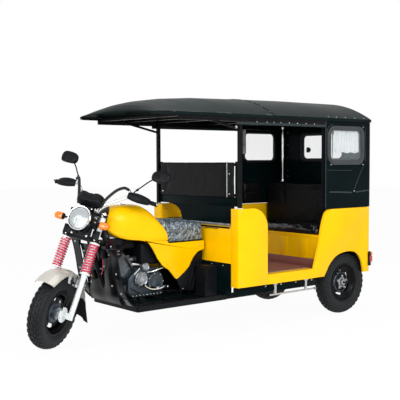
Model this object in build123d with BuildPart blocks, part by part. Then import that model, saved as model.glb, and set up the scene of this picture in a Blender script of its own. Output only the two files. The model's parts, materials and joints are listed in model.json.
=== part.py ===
from build123d import *
import os
from math import cos, radians, sin, sqrt

# A passenger tricycle with a motorcycle front: millimetres, front along -Y, its left along +X.
os.makedirs("parts", exist_ok=True)

# Cabin
half_width = 571
wall = 20
bulkhead_y = -25
sill_bottom = 377
floor_top = 458
floor_thickness = 30
belt_height = 973
wing_top = 1014
wing_corner = 165
eave_height = 1772
clearance = 0.5
seat_gap = 0.3


def back(distance):
    """The Y of a station this far behind the bulkhead's front face."""
    return bulkhead_y + distance


door_front = back(329)
door_rear = back(886)
post_y = back(1024)
quarter_corner = back(1109)
body_rear = back(1632)
sill_inner = half_width - 70
flange_inner = half_width - 89
bulkhead_bottom = 567
bulkhead_top = 868

# Wheels
rear_axle_y = back(1351)
rear_tyre_radius = 285
rear_tyre_width = 126
rear_track_half = half_width - 111.5
front_tyre_radius = 281
front_tyre_width = 118
rim_radius = 162
rim_flange = 9
crown_radius = 85
axle_radius = 10

# Steering
rake = 22.3
rest_steer = 30.2
axle_lead = 57
leg_lead = 18
leg_spread = 126.5
leg_radius = 21
fork_top = 806
hub_half = 72

# Chassis
rail_x = 280
rail_width = 40
low_rail_bottom = 243
low_rail_height = 40
high_rail_height = 46
tube_radius = 20
footboard_bottom = 283.3
guard_inner = 214
guard_outer = 312

# Roof
roof_half = half_width + 17
roof_skin = 12
roof_lip = 22
roof_seam = 393
header_height = 46


def save(piece, name):
    """Labels a finished piece and writes it."""
    piece.label = name
    export_step(piece, f"parts/{name}.step")


def save_both(left, name):
    """Writes a left-hand piece and its mirror image as one piece of two solids."""
    save(Compound([left, mirror(left, about=Plane.YZ)]), name)


def box_between(x, y, z, mode=Mode.ADD):
    """A box between the low and high ends given for each axis."""
    with Locations(((x[0] + x[1]) / 2, (y[0] + y[1]) / 2, (z[0] + z[1]) / 2)):
        Box(x[1] - x[0], y[1] - y[0], z[1] - z[0], mode=mode)


def rod(start, end, radius, mode=Mode.ADD):
    """A straight round bar from one point to another."""
    start, end = Vector(start), Vector(end)
    with Locations(Plane(origin=start, z_dir=end - start)):
        Cylinder(radius, (end - start).length, align=(Align.CENTER, Align.CENTER, Align.MIN), mode=mode)


def bent_tube(points, radius, bend):
    """A round tube along straight runs joined by bends."""
    with BuildPart() as tube:
        with BuildLine() as path:
            FilletPolyline(*points, radius=bend)
        with BuildSketch(Plane(origin=path.line @ 0, z_dir=path.line % 0)):
            Circle(radius)
        sweep(path=path.line)
    return tube.part


def side_plate(outline, outer_x, thickness):
    """A flat plate on the vehicle's left whose outline is given as (y, z) points."""
    with BuildPart() as plate:
        with BuildSketch(Plane.YZ.offset(outer_x)):
            Polygon(*outline, align=None)
        extrude(amount=-thickness)
    return plate.part


def roof_height(across, rise, skin=0):
    """The height of the roof's arch at a distance across, less a skin thickness."""
    half = roof_half - skin
    sagitta = rise - skin / 2
    radius = (half**2 + sagitta**2) / (2 * sagitta)
    return eave_height + rise - skin - radius + sqrt(radius**2 - across**2)


# --- Wheels -----------------------------------------------------------------------------------------


def wheel_section(hub):
    """The plane of a wheel's section: local X runs outward from the axle, local Y along it."""
    return Plane(origin=hub.origin, x_dir=hub.x_dir, z_dir=hub.x_dir.cross(hub.z_dir))


def make_tyre(hub, radius, width):
    """A tyre on the frame 'hub', whose Z is the axle."""
    half = width / 2
    bead = 0.36 * width
    tread = 0.42 * width
    foot = rim_radius + clearance
    flange = rim_radius + rim_flange + clearance
    shoulder = radius - crown_radius + sqrt(crown_radius**2 - tread**2)
    waist = rim_radius + 0.5 * (shoulder - rim_radius)
    with BuildPart() as tyre:
        with BuildSketch(wheel_section(hub)):
            with BuildLine():
                Polyline((flange, -bead), (foot, -bead), (foot, bead), (flange, bead))
                ThreePointArc((flange, bead), (waist, half), (shoulder, tread))
                ThreePointArc((shoulder, tread), (radius, 0), (shoulder, -tread))
                ThreePointArc((shoulder, -tread), (waist, -half), (flange, -bead))
            make_face()
        revolve(axis=Axis(hub.origin, hub.z_dir), revolution_arc=360)
    return tyre.part


def make_rim(hub, width, disc_offset, hub_radius, hub_half, drum_radius, drum_half):
    """A pressed steel rim with its disc, hub and brake drum, bored for the axle."""
    bead = 0.36 * width
    lip = bead + clearance
    skin = 5
    well = rim_radius - 22
    with BuildPart() as rim:
        with BuildSketch(wheel_section(hub)):
            with BuildLine():
                Polyline(
                    (rim_radius, -lip),
                    (rim_radius, lip),
                    (rim_radius + rim_flange, lip),
                    (rim_radius + rim_flange, lip + skin),
                    (rim_radius - 6, lip + skin),
                    (well, bead - 14),
                    (well, -bead + 14),
                    (rim_radius - 6, -lip - skin),
                    (rim_radius + rim_flange, -lip - skin),
                    (rim_radius + rim_flange, -lip),
                    close=True,
                )
            make_face()
        revolve(axis=Axis(hub.origin, hub.z_dir), revolution_arc=360)
        with Locations(hub.offset(disc_offset)):
            Cylinder(well + 2, 7)
        with Locations(hub):
            Cylinder(hub_radius, 2 * hub_half)
            Cylinder(drum_radius, 2 * drum_half)
            Cylinder(axle_radius + clearance, 4 * hub_half, mode=Mode.SUBTRACT)
    return rim.part


# Fork frame: origin on the steering axis at the height of the axle, Z up the axis, X across the fork
# and Y behind it, all turned with the handlebar.
axis_lean = Vector(0, sin(radians(rake)), cos(radians(rake)))
straight_across = Vector(1, 0, 0)
turned_across = straight_across.rotate(Axis((0, 0, 0), axis_lean), rest_steer)
# A leaning wheel stands lower than an upright one.
wheel_stand = front_tyre_radius - (front_tyre_radius - crown_radius) * (1 - sqrt(1 - turned_across.Z**2))
axle_rise = axle_lead * sin(radians(rake)) * cos(radians(rest_steer))
stem_foot = Vector(0, back(-1320), wheel_stand - axle_rise)
fork_frame = Plane(origin=stem_foot, x_dir=turned_across, z_dir=axis_lean)
front_hub = Plane(
    origin=fork_frame.from_local_coords((0, -axle_lead, 0)),
    x_dir=fork_frame.y_dir,
    z_dir=fork_frame.x_dir,
)


def fork_point(x, y, z):
    """A point given in the fork frame."""
    return fork_frame.from_local_coords((x, y, z))


def bar_point(x, y, z):
    """A point of the fork frame whose height is given above the upper yoke."""
    return fork_point(x, y, fork_top + z)


front_tyre = make_tyre(front_hub, front_tyre_radius, front_tyre_width)
save(front_tyre, "front_tyre")
front_rim = make_rim(front_hub, front_tyre_width, 0, 34, hub_half, 78, 34)
save(front_rim, "front_rim")

for side, sign in (("left", 1), ("right", -1)):
    rear_hub = Plane(
        origin=(sign * rear_track_half, rear_axle_y, rear_tyre_radius),
        x_dir=(0, 1, 0),
        z_dir=(sign, 0, 0),
    )
    save(make_tyre(rear_hub, rear_tyre_radius, rear_tyre_width), f"rear_tyre_{side}")
    save(make_rim(rear_hub, rear_tyre_width, 18, 38, 52, 95, 40), f"rear_rim_{side}")

# --- Fork and handlebar ------------------------------------------------------------------------------

leg_y = -leg_lead
leg_foot = -24
yoke_high = (fork_top - 22, fork_top)
yoke_low = (fork_top - 220, fork_top - 192)
leg_top = fork_top + 9
spring_low = 330
spring_high = yoke_low[0] - 6
head_low = yoke_low[1] + 3
head_high = yoke_high[0] - 3
stem_radius = 14
head_radius = 30

brake_plate_radius = 58
arm_x = (hub_half + 12, hub_half + 20)
arm_y = -axle_lead - 47
arm_top = 25
with BuildPart(fork_frame) as fork_legs:
    for side in (-1, 1):
        rod((side * leg_spread, leg_y, leg_foot), (side * leg_spread, leg_y, leg_top), leg_radius)
        # Axle lug in front of the leg's foot
        box_between(
            sorted((side * (leg_spread - 14), side * (leg_spread + 14))),
            (-axle_lead - 20, leg_y),
            (-22, 22),
        )
    rod((-leg_spread - 22, -axle_lead, 0), (leg_spread + 22, -axle_lead, 0), axle_radius)
    # Brake plate beside the hub, with the arm that the brake cable pulls
    rod((hub_half + 6, -axle_lead, 0), (arm_x[0], -axle_lead, 0), brake_plate_radius)
    box_between(arm_x, (arm_y - 6, arm_y + 6), (-30, arm_top))
    rod((arm_x[0], arm_y, -24), (arm_x[1] + 4, arm_y, -24), 5)
save(fork_legs.part, "fork_legs")

spring_radius = 31
with BuildPart(fork_frame) as fork_springs:
    for side in (-1, 1):
        rod(
            (side * leg_spread, leg_y, spring_low),
            (side * leg_spread, leg_y, spring_high),
            spring_radius,
        )
        rod(
            (side * leg_spread, leg_y, spring_low - 1),
            (side * leg_spread, leg_y, spring_high + 1),
            leg_radius + clearance,
            mode=Mode.SUBTRACT,
        )
save(fork_springs.part, "fork_springs")

yoke_outline = (
    # across, behind the stem, round one yoke
    (-leg_spread - 28, leg_y - 28),
    (leg_spread + 28, leg_y - 28),
    (leg_spread + 28, leg_y + 10),
    (leg_spread + 14, leg_y + 26),
    (34, 32),
    (-34, 32),
    (-leg_spread - 14, leg_y + 26),
    (-leg_spread - 28, leg_y + 10),
)
with BuildPart(fork_frame) as fork_yokes:
    for low, high in (yoke_low, yoke_high):
        with BuildSketch(fork_frame.offset(low)):
            Polygon(*yoke_outline, align=None)
        extrude(amount=high - low)
        for side in (-1, 1):
            rod(
                (side * leg_spread, leg_y, low - 1),
                (side * leg_spread, leg_y, high + 1),
                leg_radius,
                Mode.SUBTRACT,
            )
    rod((0, 0, yoke_low[0]), (0, 0, yoke_high[1] + 14), stem_radius)
save(fork_yokes.part, "fork_yokes")

bar_radius = 11
bar_rise = 62
bar_points = (
    # across, behind the stem, above the upper yoke
    (460, 112, 198),
    (235, 92, 214),
    (60, -2, bar_rise),
    (-60, -2, bar_rise),
    (-235, 92, 214),
    (-460, 112, 198),
)
riser_radius = 12
with BuildPart() as handlebar:
    add(bent_tube([bar_point(*point) for point in bar_points], bar_radius, 45))
    for side in (-1, 1):
        rod(bar_point(side * 42, 0, clearance), bar_point(side * 42, -2, bar_rise), riser_radius)
save(handlebar.part, "handlebar")


def bar_end(side, across):
    """A point on the middle line of the handlebar's straight end."""
    outer, inner = Vector(*bar_points[0]), Vector(*bar_points[1])
    point = inner + (outer - inner) * ((across - inner.X) / (outer.X - inner.X))
    return bar_point(side * point.X, point.Y, point.Z)


housing = (286, 320)
housing_radius = 22
lever_pivot = ((288, 66, 206), (340, 60, 203))
lever_blade = ((334, 61, 203), (452, 70, 195))
with BuildPart() as hand_levers:
    for side in (-1, 1):
        pivot_start, pivot_end = [bar_point(side * x, y, z) for x, y, z in lever_pivot]
        blade_start, blade_end = [bar_point(side * x, y, z) for x, y, z in lever_blade]
        rod(bar_end(side, housing[0]), bar_end(side, housing[1]), housing_radius)
        rod(bar_end(side, housing[0] + 17), bar_point(side * 303, 64, 205), 12)
        rod(pivot_start, pivot_end, 9)
        rod(blade_start, blade_end, 6)
        rod(
            bar_end(side, housing[0] - 5),
            bar_end(side, housing[1] + 5),
            bar_radius + clearance,
            Mode.SUBTRACT,
        )
save(hand_levers.part, "hand_levers")

grip_radius = 17
grip_inner = (325, 100, 207.6)
grip_outer = (463, 112.3, 197.8)
with BuildPart() as grips:
    for side in (-1, 1):
        inner = Vector(side * grip_inner[0], *grip_inner[1:])
        outer = Vector(side * grip_outer[0], *grip_outer[1:])
        rod(bar_point(*inner), bar_point(*outer), grip_radius)
        rod(
            bar_point(*inner),
            bar_point(*(outer - (outer - inner) * 0.02)),
            bar_radius + clearance,
            Mode.SUBTRACT,
        )
save(grips.part, "grips")

mirror_stem = (
    # across, behind the stem, above the upper yoke
    (250, 93.3, 224.6),
    (250, 93.3, 239),
    (330, 110, 354),
    (400, 122, 409),
)
mirror_head = (
    # outward, up from the middle of the head
    (-75, 6),
    (-58, -44),
    (52, -46),
    (75, -22),
    (72, 24),
    (40, 46),
    (-40, 40),
)
with BuildPart() as mirrors:
    for side in (-1, 1):
        stem = [bar_point(side * x, y, z) for x, y, z in mirror_stem]
        rod(stem[0], stem[1], 9)
        for start, end in zip(stem[1:-1], stem[2:]):
            rod(start - (end - start).normalized() * 3, end, 5)
        middle = bar_point(side * 416, 134, 424)
        head = Plane(origin=middle, x_dir=fork_frame.x_dir, z_dir=-fork_frame.y_dir)
        with BuildSketch(head) as outline:
            Polygon(*[(side * x, y) for x, y in mirror_head], align=None)
            fillet(outline.vertices(), 12)
        extrude(amount=28)
save(mirrors.part, "mirrors")

gauge_x = 47
gauge_radius = 44
gauge_length = 66
gauge_lean = 30
gauge_frame = Plane(
    origin=bar_point(0, -94, 46),
    x_dir=fork_frame.x_dir,
    z_dir=fork_frame.z_dir * cos(radians(gauge_lean)) + fork_frame.y_dir * sin(radians(gauge_lean)),
)
with BuildPart() as instrument_cluster:
    for side in (-1, 1):
        with Locations(gauge_frame.offset(gauge_length / 2)):
            with Locations((side * gauge_x, 0, 0)):
                Cylinder(gauge_radius, gauge_length)
    with Locations(gauge_frame.offset(gauge_length / 2 - 4)):
        Box(2 * gauge_x, 2 * gauge_radius - 8, gauge_length - 8)
    # Bracket from the upper yoke
    with BuildSketch(fork_frame.offset(fork_top + seat_gap)):
        with Locations((0, -44)):
            Rectangle(80, 32)
    extrude(amount=54)
save(instrument_cluster.part, "instrument_cluster")

lamp_height = fork_top - 84
lamp_radius = 86
lamp_front = -152
lamp_middle = lamp_front + 60
ear_outer = leg_spread - leg_radius - seat_gap
ear_half_height = 32
bucket = (
    # radius, behind the lamp's front
    (0, 0),
    (lamp_radius, 0),
    (lamp_radius, 30),
    (lamp_radius - 10, 34),
    (lamp_radius - 16, 60),
    (lamp_radius - 34, 84),
    (lamp_radius - 60, 94),
    (0, 94),
)
lamp_frame = Plane(
    origin=fork_point(0, lamp_front, lamp_height), x_dir=fork_frame.x_dir, z_dir=fork_frame.z_dir
)
with BuildPart() as headlight:
    with BuildSketch(lamp_frame):
        Polygon(*bucket, align=None)
    revolve(axis=Axis(lamp_frame.origin, fork_frame.y_dir), revolution_arc=360)
    rod(fork_point(-100, lamp_middle, lamp_height), fork_point(100, lamp_middle, lamp_height), 9)
    for side in (-1, 1):
        ear = Plane(
            origin=fork_point(side * 96, leg_y + 10, lamp_height),
            x_dir=fork_frame.y_dir * -1,
            z_dir=fork_frame.x_dir * side,
        )
        with BuildSketch(ear):
            with Locations((52, 0)):
                Rectangle(104, 2 * ear_half_height)
        extrude(amount=ear_outer - 96)
save(headlight.part, "headlight")

indicator_drop = 10
indicator_middle = Vector(187, -100, lamp_height - indicator_drop)
indicator_size = (70, 48, 56)
with BuildPart() as indicators:
    for side in (-1, 1):
        centre = fork_point(side * indicator_middle.X, indicator_middle.Y, indicator_middle.Z)
        with BuildPart(Plane(origin=centre, x_dir=fork_frame.x_dir, z_dir=fork_frame.z_dir)) as lens:
            Box(*indicator_size)
            fillet(lens.edges(), 16)
        add(lens.part)
        rod(
            fork_point(side * (ear_outer + seat_gap), indicator_middle.Y, indicator_middle.Z), centre, 7
        )
save(indicators.part, "indicators")

cable_radius = 3.5
lever_end = Vector(*lever_pivot[0])
lever_along = (lever_end - Vector(*lever_pivot[1])).normalized()
cable_start = lever_end + lever_along * seat_gap
brake_cable = (
    # across, behind the stem, up the stem: lever, behind the lamp, beside the leg, brake arm
    (236, 30, fork_top + 252),
    (172, -30, fork_top + 222),
    (120, -64, fork_top + 120),
    (90, -58, fork_top + 20),
    (87, -57, fork_top - 116),
    (88, -56, fork_top - 246),
    (94, -52, 400),
    (94, -52, 260),
    (92, -80, 120),
    (arm_x[0] + 4, arm_y, arm_top + seat_gap),
)
throttle_cable = (
    # across, behind the stem, up the stem: grip, top of the upper yoke
    (236, 34, fork_top + 240),
    (172, -30, fork_top + 196),
    (124, -56, fork_top + 110),
    (90, -44, fork_top + 40),
    (86, -32, fork_top + seat_gap),
)
with BuildPart() as control_cables:
    for side, route in ((1, brake_cable), (-1, throttle_cable)):
        points = [
            Vector(cable_start.X, cable_start.Y, fork_top + cable_start.Z),
            *[Vector(*row) for row in route],
        ]
        start_along = bar_point(side * lever_along.X, lever_along.Y, lever_along.Z) - bar_point(0, 0, 0)
        with BuildLine() as path:
            Spline(
                *[fork_point(side * point.X, point.Y, point.Z) for point in points],
                tangents=(start_along, fork_frame.z_dir * -1),
            )
        with BuildSketch(Plane(origin=path.line @ 0, z_dir=path.line % 0)):
            Circle(cable_radius)
        sweep(path=path.line)
save(control_cables.part, "control_cables")

fender_crown = 334
fender_edge = 306
fender_half = 84
fender_skin = 4
fender_front_angle = 33
fender_rear_angle = 150
stay_low = 232


def fender_plane(angle):
    """The half plane through the wheel's axle at an angle up from straight ahead; local Y is the radius."""
    outward = fork_frame.y_dir * -cos(radians(angle)) + fork_frame.z_dir * sin(radians(angle))
    return Plane(origin=front_hub.origin, x_dir=fork_frame.x_dir, z_dir=fork_frame.x_dir.cross(outward))


with BuildPart() as front_fender:
    with BuildSketch(fender_plane(fender_front_angle)):
        with BuildLine():
            ThreePointArc((-fender_half, fender_edge), (0, fender_crown), (fender_half, fender_edge))
            Line((fender_half, fender_edge), (fender_half - fender_skin, fender_edge))
            ThreePointArc(
                (fender_half - fender_skin, fender_edge),
                (0, fender_crown - fender_skin),
                (fender_skin - fender_half, fender_edge),
            )
            Line((fender_skin - fender_half, fender_edge), (-fender_half, fender_edge))
        make_face()
    revolve(
        axis=Axis(front_hub.origin, fork_frame.x_dir * -1),
        revolution_arc=fender_rear_angle - fender_front_angle,
    )
    # U-shaped stays from the fender's edges to the fork legs
    for side in (-1, 1):
        across = side * (fender_half - 10)
        for top_y, low_y in ((-125, -108), (11, -6)):
            rod(fork_point(across, top_y, 303), fork_point(across, low_y, stay_low), 5)
        rod(fork_point(across, -108, stay_low), fork_point(across, -6, stay_low), 5)
        rod(
            fork_point(across, leg_y, stay_low),
            fork_point(side * (leg_spread - leg_radius - seat_gap), leg_y, stay_low),
            8,
        )
save(front_fender.part, "front_fender")

flap_top = (
    sin(radians(fender_rear_angle)) * fender_edge,
    -axle_lead - cos(radians(fender_rear_angle)) * fender_edge,
)
flap_drop = 165
flap_lean = 14
flap_skin = 4
flap_plane = Plane(
    origin=fork_point(0, flap_top[1] + 6, flap_top[0] + 18),
    x_dir=fork_frame.x_dir,
    z_dir=fork_frame.y_dir * cos(radians(flap_lean)) + fork_frame.z_dir * sin(radians(flap_lean)),
)
with BuildPart() as mud_flap:
    with BuildSketch(flap_plane):
        with BuildLine():
            Polyline((-112, flap_drop), (-66, -20), (66, -20), (112, flap_drop), (84, flap_drop - 10))
            ThreePointArc((84, flap_drop - 10), (0, flap_drop - 34), (-84, flap_drop - 10))
            Line((-84, flap_drop - 10), (-112, flap_drop))
        make_face()
    extrude(amount=flap_skin)
    # Its top edge follows the fender's end
    with Locations(fender_plane(fender_rear_angle).offset(-seat_gap)):
        Box(300, 1000, 80, align=(Align.CENTER, Align.CENTER, Align.MIN), mode=Mode.SUBTRACT)
save(mud_flap.part, "mud_flap")

# --- Chassis -----------------------------------------------------------------------------------------

low_rail_top = low_rail_bottom + low_rail_height
floor_bottom = floor_top - floor_thickness
high_rail_bottom = floor_bottom - high_rail_height
rail_front = back(-800)
rail_step = back(640)
rail_kick = back(900)
rail_rear = back(1590)
low_middle = low_rail_bottom + low_rail_height / 2
rail_outline = (
    # y, z round one side rail
    (rail_front, low_rail_bottom),
    (rail_step, low_rail_bottom),
    (rail_kick, high_rail_bottom),
    (rail_rear, high_rail_bottom),
    (rail_rear, floor_bottom),
    (rail_kick - 20, floor_bottom),
    (rail_step - 20, low_rail_top),
    (rail_front, low_rail_top),
)
left_rail = side_plate(rail_outline, rail_x + rail_width / 2, rail_width)
right_rail = mirror(left_rail, about=Plane.YZ)
tank_rest = 758
cross_stations = (rail_front + 20, back(30), back(600), back(1010), rail_rear - 20)
outriggers = (back(125), back(560), back(860))
outrigger_half = sill_inner - seat_gap
front_beam = back(-30)
front_beam_half = 128
head_start = stem_foot + axis_lean * head_low
head_end = stem_foot + axis_lean * head_high
engine_bottom = 315
seat_rest = 737
seat_rail_x = 105
backbone = bent_tube(
    [
        head_start + axis_lean * 110 + Vector(0, 20, 0),
        Vector(0, back(-830), 740),
        Vector(0, back(-420), 706),
        Vector(0, back(-200), 560),
        Vector(0, front_beam, high_rail_bottom + 22),
    ],
    tube_radius,
    60,
)
down_tube = bent_tube(
    [
        head_start + axis_lean * 25 + Vector(0, 20, 0),
        Vector(0, back(-905), 430),
        Vector(0, rail_front + 20, low_middle),
    ],
    tube_radius,
    60,
)
with BuildPart() as chassis_frame:
    add(left_rail)
    add(right_rail)
    for station in cross_stations:
        level = low_rail_bottom if station < rail_step else high_rail_bottom
        box_between((-rail_x, rail_x), (station - 20, station + 20), (level, level + low_rail_height))
    for station in outriggers:
        box_between(
            (-outrigger_half, outrigger_half),
            (station - 18, station + 18),
            (high_rail_bottom, floor_bottom),
        )
    for side in (-1, 1):
        for station in outriggers[:2]:
            middle = side * rail_x
            box_between(
                (middle - 18, middle + 18), (station - 18, station + 18), (low_middle, floor_bottom)
            )
    box_between(
        (-front_beam_half, front_beam_half),
        (front_beam - 18, front_beam + 18),
        (high_rail_bottom, floor_bottom),
    )
    # Cross plates under the engine
    for station in (back(-690), back(-450)):
        box_between((-rail_x, rail_x), (station - 20, station + 20), (low_rail_bottom, low_rail_top))
        box_between((-70, 70), (station - 20, station + 20), (low_rail_top, engine_bottom - seat_gap))
    # Saddle rails with their cross bar and rear struts, and the tank's rest
    box_between((-seat_rail_x, seat_rail_x), (back(-416), back(-392)), (700, seat_rest - seat_gap))
    for side in (-1, 1):
        middle = side * seat_rail_x
        box_between(
            (middle - 12, middle + 12), (back(-416), front_beam + 12), (713, seat_rest - seat_gap)
        )
        box_between(
            (middle - 12, middle + 12),
            (front_beam - 12, front_beam + 12),
            (floor_bottom, seat_rest - seat_gap),
        )
    box_between((-14, 14), (back(-540), back(-510)), (725, tank_rest - seat_gap))
    for side in (-1, 1):
        middle = side * (front_beam_half - 18)
        box_between(
            (middle - 15, middle + 15), (front_beam, outriggers[0]), (high_rail_bottom, floor_bottom)
        )
    add(backbone)
    add(down_tube)
    rod(head_start, head_end, head_radius)
    rod(head_start - axis_lean, head_end + axis_lean, stem_radius + clearance, Mode.SUBTRACT)
    # The tubes end on the head tube's rear half, clear of the lower yoke's plates
    rod(head_start - axis_lean * 30, head_start, 60, Mode.SUBTRACT)
save(chassis_frame.part, "chassis_frame")

# --- Engine ------------------------------------------------------------------------------------------

engine_half = 105
engine_front, engine_rear = back(-745), back(-400)
cylinder_lean = 42
cylinder_base = Plane(
    origin=(0, back(-700), 500),
    x_dir=(1, 0, 0),
    z_dir=(0, -sin(radians(cylinder_lean)), cos(radians(cylinder_lean))),
)
clutch_x = engine_half + 42
shaft_front_z = 350
with BuildPart() as engine:
    with BuildSketch(Plane.YZ.offset(-engine_half)) as crankcase:
        Polygon(
            (engine_front + 30, engine_bottom),
            (engine_rear - 20, engine_bottom),
            (engine_rear, engine_bottom + 60),
            (engine_rear, 470),
            (engine_rear - 70, 545),
            (engine_front + 110, 560),
            (engine_front, 470),
            (engine_front, engine_bottom + 50),
            align=None,
        )
        fillet(crankcase.vertices(), 18)
    extrude(amount=2 * engine_half)
    with Locations(cylinder_base):
        Box(100, 104, 150, align=(Align.CENTER, Align.CENTER, Align.MIN))
        Box(120, 122, 50, align=(Align.CENTER, Align.CENTER, Align.MIN))
    # Cooling fins, then the cylinder head's cover
    for fin in range(8):
        with Locations(cylinder_base.offset(64 + 15 * fin)):
            Box(168, 158, 7)
    with Locations(cylinder_base.offset(150)):
        Box(92, 110, 62, align=(Align.CENTER, Align.CENTER, Align.MIN))
    # Clutch cover and gearbox cover on the left, magneto cover on the right
    rod((engine_half - 1, back(-635), 462), (clutch_x, back(-635), 462), 62)
    rod((engine_half - 1, back(-490), 430), (engine_half + 26, back(-490), 430), 78)
    rod((clutch_x - 1, back(-635), 462), (clutch_x + 6, back(-635), 462), 44)
    rod((-engine_half + 1, back(-600), 450), (-engine_half - 40, back(-600), 450), 82)
    # Carburettor behind the cylinder
    rod((0, back(-750), 612), (0, back(-620), 612), 22)
    rod((0, back(-665), 575), (0, back(-665), 650), 20)
    # Output boss for the propeller shaft
    rod((0, engine_rear - 60, shaft_front_z), (0, engine_rear, shaft_front_z), 32)
save(engine.part, "engine")

pedal_x = 162
gear_shaft = (back(-500), 386)
gear_bar = ((back(-640), 418), (back(-560), 374), (back(-430), 398))
with BuildPart() as foot_levers:
    # Gear lever: shaft, bar and its two toe pads
    rod((engine_half + 26 + seat_gap, *gear_shaft), (pedal_x, *gear_shaft), 9)
    for start, end in zip(gear_bar[:-1], gear_bar[1:]):
        rod((pedal_x, *start), (pedal_x, *end), 7)
    for station, height in gear_bar:
        box_between((pedal_x - 8, pedal_x + 8), (station - 10, station + 10), (height - 9, height + 9))
    for station, height in (gear_bar[0], gear_bar[2]):
        box_between((pedal_x + 4, pedal_x + 44), (station - 12, station + 12), (height - 5, height + 5))
save(foot_levers.part, "foot_levers")

port = cylinder_base.from_local_coords((0, -79 - seat_gap, 120))
pipe_bend = cylinder_base.from_local_coords((0, -130, 120))
silencer_x = -205
silencer_z = 340
with BuildPart() as exhaust:
    add(
        bent_tube(
            [
                port,
                pipe_bend,
                Vector(-90, back(-880), 470),
                Vector(silencer_x, back(-800), 360),
                Vector(silencer_x, back(-640), silencer_z),
                Vector(silencer_x, back(-300), silencer_z),
            ],
            16,
            28,
        )
    )
    rod((silencer_x, back(-320), silencer_z), (silencer_x, back(90), silencer_z), 42)
    rod((silencer_x, back(90), silencer_z), (silencer_x, back(150), silencer_z - 6), 14)
    # Hanger down to the cross plate of the frame
    box_between(
        (silencer_x - 8, silencer_x + 12),
        (back(-464), back(-440)),
        (low_rail_top + seat_gap, silencer_z),
    )
save(exhaust.part, "exhaust")

# --- Leg guards and footboards -----------------------------------------------------------------------

guard_line = (
    # y, z down the front face of the guard
    (back(-1019), 808),
    (back(-992), 735),
    (back(-951), 509),
    (back(-905), 372),
    (back(-830), footboard_bottom),
    (back(94), footboard_bottom),
)
guard_skin = 4
footboard_lip = 244
with BuildPart() as leg_guard:
    with BuildSketch(Plane.YZ.offset(guard_outer)):
        with BuildLine():
            FilletPolyline(*guard_line, radius=60)
            offset(amount=guard_skin, side=Side.LEFT)
        make_face()
    extrude(amount=guard_inner - guard_outer)
    # Side lip of the footboard
    box_between(
        (guard_outer, guard_outer + guard_skin),
        (back(-800), back(94)),
        (footboard_lip, footboard_bottom + guard_skin),
    )
    # Bracket from the guard's top back to the down tube's side
    box_between((guard_inner - 20, guard_inner + 10), (back(-1010), back(-992)), (740, 800))
save_both(leg_guard.part, "leg_guards")

# --- Tank, covers and driver's seat ------------------------------------------------------------------

tank_sections = (
    # y behind the bulkhead, half width, bottom, top
    (-928, 78, 868, 965),
    (-885, 112, 832, 1020),
    (-800, 144, 796, 1052),
    (-680, 160, 772, 1058),
    (-540, 168, 760, 1026),
    (-405, 170, 756, 930),
)
with BuildPart() as fuel_tank:
    for station, half, bottom, top in tank_sections:
        with BuildSketch(Plane.XZ.offset(-back(station))):
            with Locations((0, (bottom + top) / 2)):
                RectangleRounded(2 * half, top - bottom, 45)
    loft()
save(fuel_tank.part, "fuel_tank")

side_cover_outline = (
    # y, z round the cover
    (back(-640), 770),
    (back(-584), 752),
    (back(-546), 700),
    (back(-497), 616),
    (back(-448), 556),
    (back(-387), 518),
    (back(-347), 473),
    (back(-316), 437),
    (back(-223), 494),
    (back(-181), 532),
    (back(-138), 604),
    (back(-84), 650),
    (back(-19), 662),
    (back(-19), seat_rest - seat_gap),
    (back(-400), seat_rest - seat_gap),
    (back(-470), 748),
    (back(-560), 754),
    (back(-600), 762),
)
cover_outer = 168
cover_skin = 14
save_both(side_plate(side_cover_outline, cover_outer, cover_skin), "side_covers")

seat_top = 895
seat_bottom = seat_rest
with BuildPart() as rear_cover:
    with BuildSketch(Plane.YZ.offset(cover_outer - cover_skin - seat_gap)):
        Polygon(
            (back(-310), 452),
            (back(-250), 330),
            (back(-24), 330),
            (back(-24), 680),
            (back(-84), 665),
            (back(-181), 550),
            (back(-223), 512),
            align=None,
        )
    extrude(amount=-20)
save_both(rear_cover.part, "rear_covers")

with BuildPart() as driver_seat:
    with BuildSketch(Plane.YZ.offset(-170)):
        Polygon(
            (back(-396), seat_bottom),
            (back(-30), seat_bottom),
            (back(-30), 868),
            (back(-60), seat_top),
            (back(-372), 922),
            align=None,
        )
    extrude(amount=340)
save(driver_seat.part, "driver_seat")

with BuildPart() as battery_box:
    box_between(
        (cover_outer + 4, 300), (back(-120), back(20)), (footboard_bottom + guard_skin + seat_gap, 540)
    )
save(battery_box.part, "battery_box")

# --- Cabin -------------------------------------------------------------------------------------------

with BuildPart() as front_bulkhead:
    box_between(
        (-flange_inner, flange_inner), (bulkhead_y, back(wall)), (bulkhead_bottom, bulkhead_top)
    )
    box_between(
        (-flange_inner, flange_inner), (bulkhead_y, back(90)), (bulkhead_top - 14, bulkhead_top)
    )
save(front_bulkhead.part, "front_bulkhead")

with BuildPart() as wing:
    with BuildSketch(Plane.YZ.offset(half_width)) as wing_side:
        Polygon(
            (bulkhead_y, sill_bottom),
            (door_front, sill_bottom),
            (door_front, wing_top),
            (bulkhead_y, wing_top),
            align=None,
        )
        fillet(wing_side.vertices().sort_by(Axis.Y)[-2:].sort_by(Axis.Z)[-1:], wing_corner)
    extrude(amount=-wall)
    box_between((flange_inner, half_width), (bulkhead_y, back(wall)), (sill_bottom, wing_top))
save_both(wing.part, "wings")

with BuildPart() as sill:
    box_between((sill_inner, half_width), (door_front + clearance, door_rear), (sill_bottom, floor_top))
save_both(sill.part, "sills")

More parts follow.
